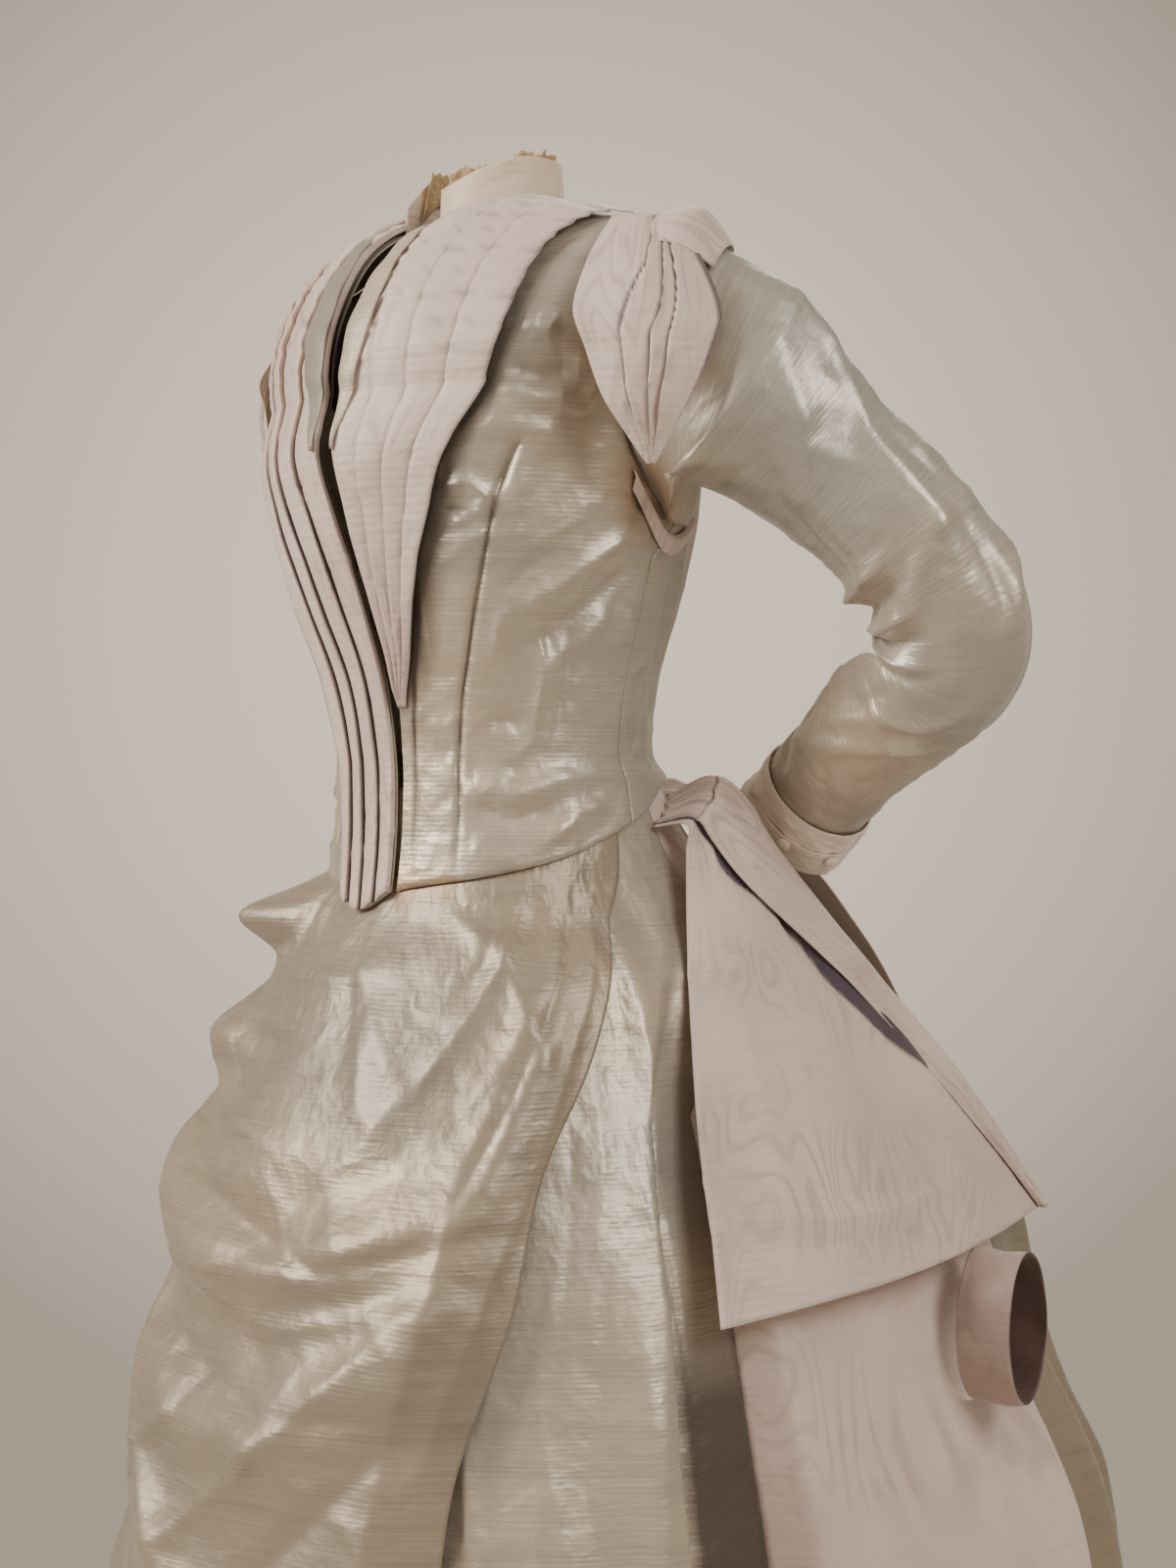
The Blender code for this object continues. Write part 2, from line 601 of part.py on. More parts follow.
def armhole(side_lift, spread):
    """Points round the left armhole, from the ridge forwards, down and up the back."""
    ring = [cut_point(row, row.front_seam, side_lift) for row in reversed(CUT[ARMPIT_ROW + 1:])]
    ring += [cut_point(CUT[ARMPIT_ROW], angle, side_lift) for angle in ARMPIT_ANGLES]
    ring += [cut_point(row, row.arm_back, side_lift) for row in CUT[ARMPIT_ROW + 1:-1]]
    middle = sum(ring, Vector()) / len(ring)
    return [p + Vector((0, p.y - middle.y, p.z - middle.z)).normalized() * spread for p in ring]


def sleeve_frame(index):
    """Middle, outward and towards-front directions of a section of the left sleeve."""
    row = SLEEVE[index]
    middle = Vector((row.x, row.y, row.z))
    before = SLEEVE[max(index - 1, 0)]
    after = SLEEVE[min(index + 1, len(SLEEVE) - 1)]
    axis = (Vector((after.x, after.y, after.z)) - Vector((before.x, before.y, before.z))).normalized()
    out = Vector((row.out_x, row.out_y, row.out_z))
    out = (out - axis * out.dot(axis)).normalized()
    return middle, axis, out, axis.cross(out)


def sleeve_ring(index, extra=0.0, slide=0.0, wrinkle=0.0):
    """One section of the left sleeve."""
    row = SLEEVE[index]
    middle, axis, out, front = sleeve_frame(index)
    ring = []
    for column in range(SLEEVE_COLUMNS):
        turn = math.tau * column / SLEEVE_COLUMNS
        crease = wrinkle * math.sin(3 * turn + 1.9 * index)
        ring.append(middle + axis * slide
                    + out * (row.radius_out + extra + crease) * math.cos(turn)
                    + front * (row.radius_side + extra + crease) * math.sin(turn))
    return ring


def sleeves():
    """Bent sleeves, from the armhole to the wrist."""
    rows = [armhole(SLEEVE_LIFT, SLEEVE_SPREAD)]
    rows += [sleeve_ring(index, wrinkle=SLEEVE_WRINKLE) for index in range(len(SLEEVE) - 1)]
    rows.append(sleeve_ring(len(SLEEVE) - 1))
    rows = [list(reversed(row)) for row in rows]
    cloth("sleeve_left", rows, SILVER, closed=True)
    cloth("sleeve_right", mirrored(rows), SILVER, closed=True)


def shoulder_caps():
    """Folded strip over the back of each sleeve head, next to the shoulder line."""
    edge = armhole(SLEEVE_LIFT, SLEEVE_SPREAD)
    head = sleeve_ring(0, wrinkle=SLEEVE_WRINKLE)
    outer = []
    inner = []
    for row in SHOULDER_CAP:
        ring = [start.lerp(end, row.place) for start, end in zip(edge, head)]
        points = [ring[column] for column in CAP_COLUMNS]
        away = [(ring[column] - ring[column - 1]).cross(head[column] - edge[column]).normalized()
                for column in CAP_COLUMNS]
        inner.append([p + out * CAP_ROOM for p, out in zip(points, away)])
        outer.append([p + out * (CAP_ROOM + CLOTH + row.rise)
                      for p, out in zip(points, away)])
    layered("shoulder_cap_left", outer, inner, LILAC)
    layered("shoulder_cap_right", mirrored(outer), mirrored(inner), LILAC)


def armhole_bands():
    """Folded band on the bodice, round the underside of each armhole."""
    outer = [[section_point(TORSO, at.angle, at.top + row.place, OVERLAY + CLOTH + row.rise)
              for at in ARMHOLE_BAND_PATH] for row in ARMHOLE_BAND]
    inner = [[section_point(TORSO, at.angle, at.top + row.place, OVERLAY)
              for at in ARMHOLE_BAND_PATH] for row in ARMHOLE_BAND]
    layered("armhole_band_left", outer, inner, LILAC)
    layered("armhole_band_right", mirrored(outer), mirrored(inner), LILAC)


def cuff_lift(share):
    """How far a cuff's outside stands off the sleeve, flaring towards the hand."""
    step = CUFF_STEP * max(0.0, 1 - share * CUFF_LENGTH / CUFF_OVERLAP)
    return OVERLAY + CLOTH + CUFF_EASE + step + CUFF_FLARE * share


def cuffs():
    """Turned-back cuffs over the sleeve ends, each with a tab."""
    last = len(SLEEVE) - 1
    rows = [sleeve_ring(last, cuff_lift(share), slide=-CUFF_OVERLAP + CUFF_LENGTH * share)
            for share in shares(3)]
    rows = [list(reversed(row)) for row in rows]
    cloth("cuff_left", rows, BEIGE_LILAC, closed=True)
    cloth("cuff_right", mirrored(rows), BEIGE_LILAC, closed=True)


def cuff_tabs():
    """Overlapping tab on each cuff with two covered buttons on it."""
    last = len(SLEEVE) - 1
    columns = range(1, 6)
    rows = []
    for down in (0.45, 0.70, 0.95):
        ring = sleeve_ring(last, cuff_lift(down) + OVERLAY + CLOTH,
                           slide=-CUFF_OVERLAP + CUFF_LENGTH * down)
        rows.append([ring[column] for column in reversed(columns)])
    cloth("cuff_tab_left", rows, BEIGE_LILAC)
    cloth("cuff_tab_right", mirrored(rows), BEIGE_LILAC)
    for number, column in enumerate((3, 1)):
        centre = (rows[0][column] + rows[1][column] + rows[1][column + 1] + rows[0][column + 1]) / 4
        across = rows[1][column] - rows[0][column + 1]
        over = rows[1][column + 1] - rows[0][column]
        normal = across.cross(over).normalized()
        for side, sign in (("left", 1), ("right", -1)):
            place = Vector((centre.x * sign, centre.y, centre.z))
            facing = Vector((normal.x * sign, normal.y, normal.z))
            button("button_%s_%d" % (side, number + 1), place, facing)


def button(name, place, facing):
    """A small domed button standing on the cloth."""
    mesh = bpy.data.meshes.new(name)
    build = bmesh.new()
    bmesh.ops.create_cone(build, cap_ends=True, segments=10, radius1=BUTTON_RADIUS,
                          radius2=BUTTON_RADIUS * 0.7, depth=BUTTON_HEIGHT)
    build.to_mesh(mesh)
    build.free()
    piece = add_object(name, mesh, BEIGE_LILAC, 0.5)
    piece.rotation_euler = facing.to_track_quat("Z", "Y").to_euler()
    piece.location = place + facing * (BUTTON_HEIGHT / 2 + OVERLAY)


def epaulettes():
    """Petals of fanned pleats over the armholes."""
    outer = []
    for row in EPAULETTE:
        front = Vector((row.front_x, row.front_y, row.level))
        back = Vector((row.back_x, row.back_y, row.level))
        across = back - front
        out = Vector((-across.y, across.x, 0)).normalized() * -1
        points = []
        for column, share in enumerate(shares(EPAULETTE_COLUMNS)):
            fold = EPAULETTE_CREST * (column % 2) * min(1.0, across.length / 0.03)
            bulge = row.bulge * math.sin(math.pi * share) + fold
            points.append(front + across * share + out * bulge)
        outer.append(points)
    cloth("epaulette_left", outer, LILAC)
    cloth("epaulette_right", mirrored(outer), LILAC)


def skirt_lift(folds, angle, level):
    """Height of the skirt's folds at a place."""
    total = 0.0
    for fold in folds:
        fade = min(1.0, max(0.0, (fold.top - level) / 0.12))
        total += fold.height * fade * math.exp(-((angle - fold.angle) / fold.width) ** 2)
    return total


def side_start(level):
    """Angle at which the left side gore turns in to the deep fold."""
    return 81.0 + 37.0 * max(0.0, min(1.0, (level + 0.36) / 0.33)) ** 2


def recess(angle, level):
    """How far the deep fold lies inside the skirt at a place."""
    depth = RECESS_DEPTH * min(1.0, max(0.0, (-0.10 - level) / 0.20))
    return -depth * min(1.0, max(0.0, (angle - side_start(level)) / 3.0))


def skirt_piece(name, first, last, columns, folds, colour, left_fold=False):
    """A breadth of the skirt between two angles."""
    first += SKIRT_GAP
    last -= SKIRT_GAP
    rows = []
    for level in SKIRT_LEVELS:
        row = []
        for share in shares(columns):
            angle = first + (last - first) * share
            lift = skirt_lift(folds, angle, level)
            if left_fold:
                lift += recess(angle, level)
            row.append(section_point(SKIRT, angle, level, lift))
        rows.append(row)
    cloth(name, rows, colour)


def skirt():
    """All breadths of the skirt, round from the front."""
    skirt_piece("skirt_front", FRONT_START, SIDE_START, 10, (), SILVER)
    skirt_piece("skirt_side_left", SIDE_START, RECESS_ANGLE, 18, SIDE_FOLDS, SILVER, True)
    lilac_left()
    skirt_piece("skirt_back", BACK_START, RIGHT_START, 27, TRAIN_FOLDS, SILVER)
    skirt_piece("skirt_lilac_right", RIGHT_START, RIGHT_END, 18, RIGHT_FOLDS, LILAC)


def lilac_left():
    """Left lilac panel, whose front edge turns in to meet the deep fold."""
    first = RECESS_ANGLE + SKIRT_GAP
    last = BACK_START - SKIRT_GAP
    rows = []
    for level in SKIRT_LEVELS:
        row = []
        for share in shares(LILAC_COLUMNS):
            angle = first + (last - first) * share
            lift = skirt_lift(LILAC_FOLDS, angle, level)
            if share == 0:
                lift += recess(RECESS_ANGLE, level)
            row.append(section_point(SKIRT, angle, level, lift))
        rows.append(row)
    cloth("skirt_lilac_left", rows, LILAC)


def swag_path(swag):
    """Points of a fold's ridge line, laid out flat as angle and level."""
    path = []
    for share in shares(SWAG_STEPS):
        angle = swag.angle_a + (swag.angle_b - swag.angle_a) * share
        level = swag.level_a + (swag.level_b - swag.level_a) * share
        path.append((angle, level - swag.sag * 4 * share * (1 - share)))
    return path


def apron_lift(angle, level):
    """How far the apron stands out from the skirt."""
    aside = min(1.0, max(0.0, (RIGHT_EASE.angle - angle) / RIGHT_EASE.reach))
    low = min(1.0, max(0.0, (RIGHT_EASE.level - level) / RIGHT_EASE.drop))
    lift = along(APRON, "stand", "level", level) * (1 - RIGHT_EASE.share * aside * low)
    radius = 0.0030
    for swag in SWAGS:
        nearest = min(math.hypot((angle - a) * radius, level - b) for a, b in swag_path(swag))
        lift += swag.height * math.exp(-(nearest / swag.width) ** 2) * min(1.0, lift / 0.002)
    return lift


def apron():
    """Apron overskirt with its puffs, swags and folded left edge, its top under the basque."""
    rows = []
    for tuck in APRON_TUCKS:
        row = []
        for share in shares(APRON_COLUMNS):
            angle = APRON[-1].right_edge + (APRON[-1].left_edge - APRON[-1].right_edge) * share
            level = along(BASQUE_HEM, "level", "angle", abs(angle)) + tuck
            row.append(section_point(TORSO, angle, level, -CLOTH - APRON_TUCK_ROOM))
        rows.append(row)
    for drop in APRON_DROPS:
        row = []
        for share in shares(APRON_COLUMNS):
            level = apron_level(drop, share)
            left = along(APRON, "left_edge", "level", level)
            right = along(APRON, "right_edge", "level", level)
            angle = right + (left - right) * share
            inside = min(1.0, 8.0 * share, 8.0 * (1 - share))
            lift = APRON_SEAT + apron_lift(angle, level) * (0.35 + 0.65 * inside)
            row.append(section_point(SKIRT, angle, level, lift))
        rows.append(row)
    cloth("apron", rows, SILVER, thickness=0.0015)


def apron_level(drop, share):
    """Level of a row of the apron below the basque's hem."""
    top_angle = APRON[-1].right_edge + (APRON[-1].left_edge - APRON[-1].right_edge) * share
    hem = along(BASQUE_HEM, "level", "angle", abs(top_angle))
    return hem + (APRON[0].level - hem) * drop


def sash_point(place, share, lift=0.0):
    """Point of the left sash panel: a place down its length, a share to its back edge."""
    front = Vector([along(SASH, "front_" + axis, "place", place) for axis in "xyz"])
    back = Vector([along(SASH, "back_" + axis, "place", place) for axis in "xyz"])
    bulge = along(SASH, "bulge", "place", place)
    across = back - front
    out = Vector((across.y, -across.x, 0)).normalized()
    return front + across * share + out * (bulge * math.sin(math.pi * share) + lift)


def sashes():
    """Hanging sash panels and the folded band along the outer edge of each."""
    places = [share * SASH[-1].place for share in shares(SASH_ROWS)]
    panel = [[sash_point(place, share) for share in shares(SASH_COLUMNS)] for place in places]
    cloth("sash_panel_left", panel, LILAC)
    cloth("sash_panel_right", mirrored(panel), LILAC)
    band = []
    for place in places[BAND_FIRST_ROW:]:
        start = along(SASH, "band", "place", place)
        band.append([sash_point(place, start + (1 - start) * share, BAND_LIFT)
                     for share in shares(BAND_COLUMNS)])
    cloth("sash_band_left", band, LILAC)
    cloth("sash_band_right", mirrored(band), LILAC)


def sash_puff():
    """Puff of the sash between the panels, arched over the top of the bustle."""
    rows = []
    for row in SASH_PUFF:
        rows.append([Vector((-row.half_width * (1 - 2 * share), row.y,
                             row.level + 0.010 * math.sin(math.pi * share)))
                     for share in reversed(shares(PUFF_COLUMNS))])
    cloth("sash_puff", rows, LILAC)


def sash_loops():
    """Hanging ribbon loop under each panel, a closed band seen from its open side."""
    centre = Vector(LOOP_CENTRE)
    along_side = Vector((-0.28, 0.96, 0)).normalized()
    across = Vector((0.96, 0.28, 0)).normalized()
    rows = []
    for share in shares(2):
        row = []
        for step in range(LOOP_STEPS):
            turn = math.tau * step / LOOP_STEPS
            row.append(centre + across * LOOP_DEEP * (0.5 - share)
                       + along_side * LOOP_WIDE * math.sin(turn)
                       + Vector((0, 0, LOOP_TALL * math.cos(turn))))
        rows.append(row)
    cloth("sash_loop_left", rows, LILAC, closed=True)
    cloth("sash_loop_right", mirrored(rows), LILAC, closed=True)


def main():
    """Clear the scene and build the dress."""
    for old in list(bpy.data.objects):
        bpy.data.objects.remove(old, do_unlink=True)
    home = bpy.data.collections.new("bustle_dress")
    bpy.context.scene.collection.children.link(home)
    bodice_fronts()
    bodice_sides()
    bodice_backs()
    revers("left", LEFT_REVERS_ROW, PLEATS, REVERS_CREST)
    revers("right", 0, PLEATS, BAND_CREST)
    lapel_facings()
    collar()
    neck_lace()
    sleeves()
    shoulder_caps()
    armhole_bands()
    cuffs()
    cuff_tabs()
    epaulettes()
    skirt()
    apron()
    sashes()
    sash_puff()
    sash_loops()


main()
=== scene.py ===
"""Looks of a silver and lilac silk bustle dress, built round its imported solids.

Metres, +Z up. The waist's centre is the origin, the front faces -Y and the wearer's
left is +X. Angles run round the body in degrees, 0 in front and 90 at the left side.
A cloth piece is a grid of outer points, its rows downwards and its columns towards
the wearer's left, so that its face looks outwards.
"""
from __future__ import annotations

import logging
import math
import random
from dataclasses import dataclass, field
from enum import Enum

import bpy
import numpy as np
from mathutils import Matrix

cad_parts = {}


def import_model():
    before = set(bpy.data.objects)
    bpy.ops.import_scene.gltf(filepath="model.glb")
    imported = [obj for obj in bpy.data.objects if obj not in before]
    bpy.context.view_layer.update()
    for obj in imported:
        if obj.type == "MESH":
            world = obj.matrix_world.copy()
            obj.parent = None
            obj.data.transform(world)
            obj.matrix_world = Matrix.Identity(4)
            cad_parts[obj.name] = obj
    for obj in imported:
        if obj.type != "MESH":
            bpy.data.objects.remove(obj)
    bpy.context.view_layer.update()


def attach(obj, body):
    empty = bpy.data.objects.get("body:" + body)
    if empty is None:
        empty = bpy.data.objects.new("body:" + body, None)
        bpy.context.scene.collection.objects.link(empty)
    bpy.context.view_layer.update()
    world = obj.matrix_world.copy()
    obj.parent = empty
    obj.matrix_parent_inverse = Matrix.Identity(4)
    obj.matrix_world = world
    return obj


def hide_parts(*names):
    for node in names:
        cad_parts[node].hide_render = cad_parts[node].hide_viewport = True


LOG = logging.getLogger("bustle_dress")
Colour = tuple[int, int, int]
Grid = np.ndarray


def along(keys: Grid, values: Grid, at: Grid) -> Grid:
    """Smooth value of a table's column where its rising key has a given value.

    Args:
        keys: The key column, rising.
        values: The value column, or a stack of grids with one for each key.
        at: The places to read.

    Returns:
        The values at those places.
    """
    at = np.clip(at, keys[0], keys[-1])
    low = np.clip(np.searchsorted(keys, at, side="right") - 1, 0, len(keys) - 2)
    span = keys[low + 1] - keys[low]
    share = (at - keys[low]) / span
    if values.ndim > 1:
        shape = share.shape + (1,) * (values.ndim - 1)
        share, span = share.reshape(shape), span.reshape(shape)

    def slope(index: Grid) -> Grid:
        """Slope of the values at a key, over one span."""
        first = np.maximum(index - 1, 0)
        last = np.minimum(index + 1, len(keys) - 1)
        run = (keys[last] - keys[first]).reshape(span.shape)
        return (values[last] - values[first]) / run * span

    square, cube = share ** 2, share ** 3
    return (values[low] * (2 * cube - 3 * square + 1) + values[low + 1] * (3 * square - 2 * cube)
            + slope(low) * (cube - 2 * square + share) + slope(low + 1) * (cube - square))


@dataclass(frozen=True)
class Table:
    """Rows of sizes in named columns."""

    columns: str
    rows: tuple[tuple[float, ...], ...]

    def column(self, name: str) -> Grid:
        """One column as an array."""
        index = self.columns.split().index(name)
        return np.array([row[index] for row in self.rows])

    def at(self, name: str, key: str, value: Grid) -> Grid:
        """A column's smooth value where the key column has the given value."""
        return along(self.column(key), self.column(name), np.asarray(value, dtype=float))


BODY = "level half_width front back square"
TORSO = Table(BODY, (
    (-0.110, 0.128, 0.108, 0.150, 0.02), (-0.060, 0.121, 0.102, 0.142, 0.03),
    (-0.020, 0.116, 0.101, 0.130, 0.04), (0.000, 0.113, 0.102, 0.112, 0.04),
    (0.050, 0.121, 0.110, 0.110, 0.05), (0.100, 0.135, 0.126, 0.118, 0.07),
    (0.160, 0.148, 0.142, 0.128, 0.08), (0.200, 0.152, 0.149, 0.129, 0.08),
    (0.240, 0.157, 0.137, 0.127, 0.05),
))
SKIRT = Table(BODY, (
    (-1.020, 0.300, 0.240, 0.560, 0.08), (-0.800, 0.282, 0.225, 0.540, 0.09),
    (-0.637, 0.267, 0.216, 0.520, 0.11), (-0.546, 0.256, 0.207, 0.500, 0.11),
    (-0.449, 0.240, 0.197, 0.455, 0.10), (-0.330, 0.215, 0.175, 0.415, 0.12),
    (-0.220, 0.178, 0.148, 0.340, 0.17), (-0.150, 0.152, 0.124, 0.265, 0.18),
    (-0.110, 0.127, 0.1025, 0.215, 0.14), (-0.070, 0.1160, 0.0975, 0.160, 0.07),
    (-0.020, 0.1110, 0.0960, 0.120, 0.04),
))
BASQUE_HEM = Table("angle level", (
    (-14.0, -0.092), (0.0, -0.106), (13.0, -0.094), (25.0, -0.089), (45.0, -0.083),
    (65.0, -0.075), (82.0, -0.066), (95.0, -0.056), (110.0, -0.041), (125.0, -0.021),
    (140.0, -0.015), (180.0, -0.014),
))
# Rows of the bodice's cut, from the hem up to the shoulder line.
CUT = Table("row left_edge right_edge left_revers right_revers front_seam arm_back back_seam", (
    (0, 15.0, -13.0, 17.0, 13.0, 104.0, 104.0, 141.0),
    (1, 16.0, -13.5, 18.0, 16.0, 104.0, 104.0, 139.0),
    (2, 17.0, -14.0, 19.5, 18.5, 104.0, 104.0, 138.0),
    (3, 17.2, -13.6, 20.5, 20.0, 104.0, 104.0, 136.0),
    (4, 16.3, -12.5, 25.0, 23.0, 104.0, 104.0, 133.0),
    (5, 14.6, -11.3, 29.0, 27.5, 104.0, 104.0, 130.0),
    (6, 13.0, -9.6, 32.5, 32.0, 104.0, 104.0, 127.0),
    (7, 12.0, -7.6, 36.0, 36.0, 112.0, 112.0, 128.0),
    (8, 11.2, -6.0, 38.5, 38.5, 100.0, 122.0, 128.0),
    (9, 10.2, -4.5, 42.5, 42.5, 91.0, 123.5, 127.0),
    (10, 8.6, -3.0, 48.5, 48.5, 83.0, 119.0, 121.0),
    (11, 8.4, -1.5, 51.0, 51.0, 78.0, 113.0, 113.0),
    (12, 8.2, 1.5, 51.5, 51.5, 75.0, 109.0, 109.0),
    (13, 6.0, 7.0, 52.5, 52.5, 73.0, 107.0, 107.0),
    (14, 3.5, 12.0, 54.0, 54.0, 73.0, 107.0, 107.0),
))
CUT_LEVELS = (0.0, 0.03, 0.065, 0.10, 0.13, 0.155, 0.175, 0.20, 0.24)
WAIST_ROW = 2
ARMPIT_ROW = 7
ARMPIT_ANGLES = (107.0, 112.0, 117.0)
YOKE_ROW = 10
RIDGE_ROW = 14
YOKE_LEVEL = 0.24
RIDGE_Y = 0.008
RIDGE_GAP = 0.0008
RIDGE_SPREAD = 1.187
RIDGE_LEVEL = 0.378
RIDGE_FALL = 0.24
NECK_RADIUS = 0.052
BODY_RADIUS = 0.135
SKIRT_RADIUS = 0.25

SLEEVE = Table("x y z out_x out_y out_z radius_out radius_side", (
    (0.205, 0.044, 0.243, 0.0, -0.1, 1.0, 0.076, 0.048),
    (0.222, 0.077, 0.216, 0.1, 0.1, 1.0, 0.060, 0.051),
    (0.238, 0.101, 0.190, 0.3, 0.3, 1.0, 0.053, 0.050),
    (0.259, 0.122, 0.165, 0.4, 0.4, 1.0, 0.051, 0.050),
    (0.277, 0.143, 0.135, 0.5, 0.6, 0.8, 0.050, 0.049),
    (0.288, 0.160, 0.103, 0.6, 0.7, 0.4, 0.050, 0.047),
    (0.286, 0.172, 0.075, 0.64, 0.77, 0.0, 0.050, 0.046),
    (0.268, 0.179, 0.053, 0.6, 0.7, -0.4, 0.048, 0.045),
    (0.240, 0.183, 0.038, 0.5, 0.5, -0.7, 0.045, 0.043),
    (0.197, 0.187, 0.018, 0.45, 0.5, -0.75, 0.043, 0.040),
    (0.155, 0.194, -0.008, 0.45, 0.5, -0.75, 0.041, 0.037),
    (0.122, 0.201, -0.031, 0.45, 0.5, -0.75, 0.040, 0.034),
))
SKIRT_FOLDS = "angle top width height"
SIDE_FOLDS = Table(SKIRT_FOLDS, (
    (101.0, -0.06, 4.0, 0.006), (90.0, -0.05, 4.5, 0.007), (76.0, -0.30, 5.0, 0.009),
    (62.0, -0.45, 6.0, 0.007), (46.0, -0.60, 6.0, 0.008),
))
LILAC_FOLDS = Table(SKIRT_FOLDS, (
    (100.0, -0.40, 3.0, 0.008), (118.0, -0.43, 4.0, 0.014), (130.0, -0.43, 3.5, 0.012),
))
TRAIN_FOLDS = Table(SKIRT_FOLDS, (
    (140.0, -0.36, 3.5, 0.018), (151.0, -0.22, 4.0, 0.022), (162.0, -0.30, 3.5, 0.020),
    (172.0, -0.18, 4.0, 0.024), (184.0, -0.24, 4.0, 0.022), (195.0, -0.20, 3.5, 0.020),
    (206.0, -0.30, 4.0, 0.024), (218.0, -0.34, 3.5, 0.018),
))
RIGHT_FOLDS = Table(SKIRT_FOLDS, (
    (230.0, -0.43, 4.0, 0.014), (244.0, -0.43, 4.5, 0.012), (262.0, -0.40, 4.0, 0.010),
    (282.0, -0.30, 5.0, 0.010), (306.0, -0.36, 5.0, 0.032),
))
APRON = Table("level left_edge right_edge stand", (
    (-0.780, 30.0, -36.0, 0.030), (-0.573, 38.0, -41.0, 0.026), (-0.457, 42.0, -46.0, 0.024),
    (-0.358, 51.0, -52.0, 0.022), (-0.268, 58.5, -64.0, 0.020), (-0.203, 71.0, -78.0, 0.014),
    (-0.140, 83.0, -90.0, 0.008), (-0.085, 95.0, -97.0, 0.003), (-0.045, 99.0, -98.0, 0.002),
))
SWAGS = Table("angle_a level_a angle_b level_b sag width height", (
    (-100.0, -0.100, -22.0, -0.112, 0.004, 0.019, 0.052),
    (-100.0, -0.175, -20.0, -0.190, 0.012, 0.020, 0.024),
    (-95.0, -0.250, 10.0, -0.260, 0.030, 0.028, 0.008),
    (-60.0, -0.240, 52.0, -0.262, 0.085, 0.022, 0.016),
    (-46.0, -0.330, 44.0, -0.330, 0.110, 0.028, 0.013),
    (93.0, -0.090, 40.0, -0.480, -0.020, 0.018, 0.011),
    (70.0, -0.110, 30.0, -0.420, 0.010, 0.020, 0.012),
    (-30.0, -0.400, 25.0, -0.700, 0.020, 0.026, 0.014),
    (-38.0, -0.480, 5.0, -0.760, 0.020, 0.026, 0.013),
))
SASH = Table("place front_x front_y front_z back_x back_y back_z bulge band", (
    (0, 0.1100, 0.0575, -0.050, 0.0850, 0.0930, -0.030, 0.004, 0.05),
    (1, 0.1270, 0.074, -0.049, 0.1180, 0.106, -0.015, 0.005, 0.10),
    (2, 0.1310, 0.070, -0.068, 0.1240, 0.133, -0.032, 0.007, 0.25),
    (3, 0.1430, 0.060, -0.114, 0.1330, 0.156, -0.067, 0.010, 0.50),
    (4, 0.1690, 0.040, -0.177, 0.1360, 0.238, -0.146, 0.016, 0.76),
    (5, 0.1990, 0.020, -0.250, 0.1480, 0.312, -0.221, 0.022, 0.86),
    (6, 0.2240, 0.010, -0.322, 0.1700, 0.346, -0.279, 0.026, 0.93),
    (7, 0.2380, 0.004, -0.369, 0.1930, 0.368, -0.330, 0.030, 0.97),
))
EPAULETTE = Table("place front_x front_y back_x back_y level bulge", (
    (0, 0.1600, -0.020, 0.1900, 0.012, 0.3500, 0.004),
    (1, 0.1660, -0.044, 0.2130, 0.008, 0.322, 0.010),
    (2, 0.1700, -0.062, 0.2330, 0.008, 0.284, 0.016),
    (3, 0.1800, -0.060, 0.2330, 0.000, 0.255, 0.016),
    (4, 0.1870, -0.052, 0.2250, -0.010, 0.226, 0.012),
    (5, 0.1960, -0.038, 0.2120, -0.018, 0.200, 0.006),
    (6, 0.2020, -0.028, 0.2060, -0.024, 0.184, 0.001),
))
ARMHOLE_BAND = Table("angle top", (
    (92.0, 0.188), (97.0, 0.174), (102.0, 0.161), (107.0, 0.151), (112.0, 0.1475),
    (117.0, 0.151), (122.0, 0.161),
))
SASH_PUFF = Table("place half_width y level", (
    (0, 0.022, 0.1278, -0.030), (1, 0.027, 0.165, -0.031), (2, 0.034, 0.212, -0.045),
    (3, 0.056, 0.262, -0.080), (4, 0.070, 0.296, -0.122), (5, 0.078, 0.322, -0.160),
    (6, 0.080, 0.356, -0.215),
))


def unit(vectors: Grid) -> Grid:
    """Vectors of length one."""
    return vectors / np.maximum(np.linalg.norm(vectors, axis=-1, keepdims=True), 1e-9)


def outline(table: Table, angle: Grid, level: Grid, lift: Grid | float = 0.0) -> Grid:
    """Points on the outlines of a table's sections.

    Args:
        table: Sections of the torso or the skirt.
        angle: Angles round the body.
        level: Levels of the points.
        lift: How far the points are moved out, level.

    Returns:
        A grid of points.
    """
    angle, level = np.broadcast_arrays(np.asarray(angle, float), np.asarray(level, float))
    turn = np.radians(angle)
    front = np.cos(turn) > 0
    half_width = table.at("half_width", "level", level)
    depth = np.where(front, table.at("front", "level", level), table.at("back", "level", level))
    square = np.where(front, 0.0, table.at("square", "level", level))
    swell = 1 + square * np.sin(2 * turn) ** 2
    out = unit(np.stack([np.sin(turn) * depth, -np.cos(turn) * half_width, 0 * turn], -1))
    base = np.stack([half_width * swell * np.sin(turn), -depth * swell * np.cos(turn), level], -1)
    return base + out * np.asarray(lift)[..., None]


def ridge_level(x: Grid, front: Grid) -> Grid:
    """Level of the shoulder line, or of the neck edge, at a distance from the middle."""
    slope = np.where(front, -0.25, 0.44)
    inside = NECK_RADIUS - np.abs(x)
    return RIDGE_LEVEL + np.where(inside <= 0, RIDGE_FALL * inside, slope * inside)


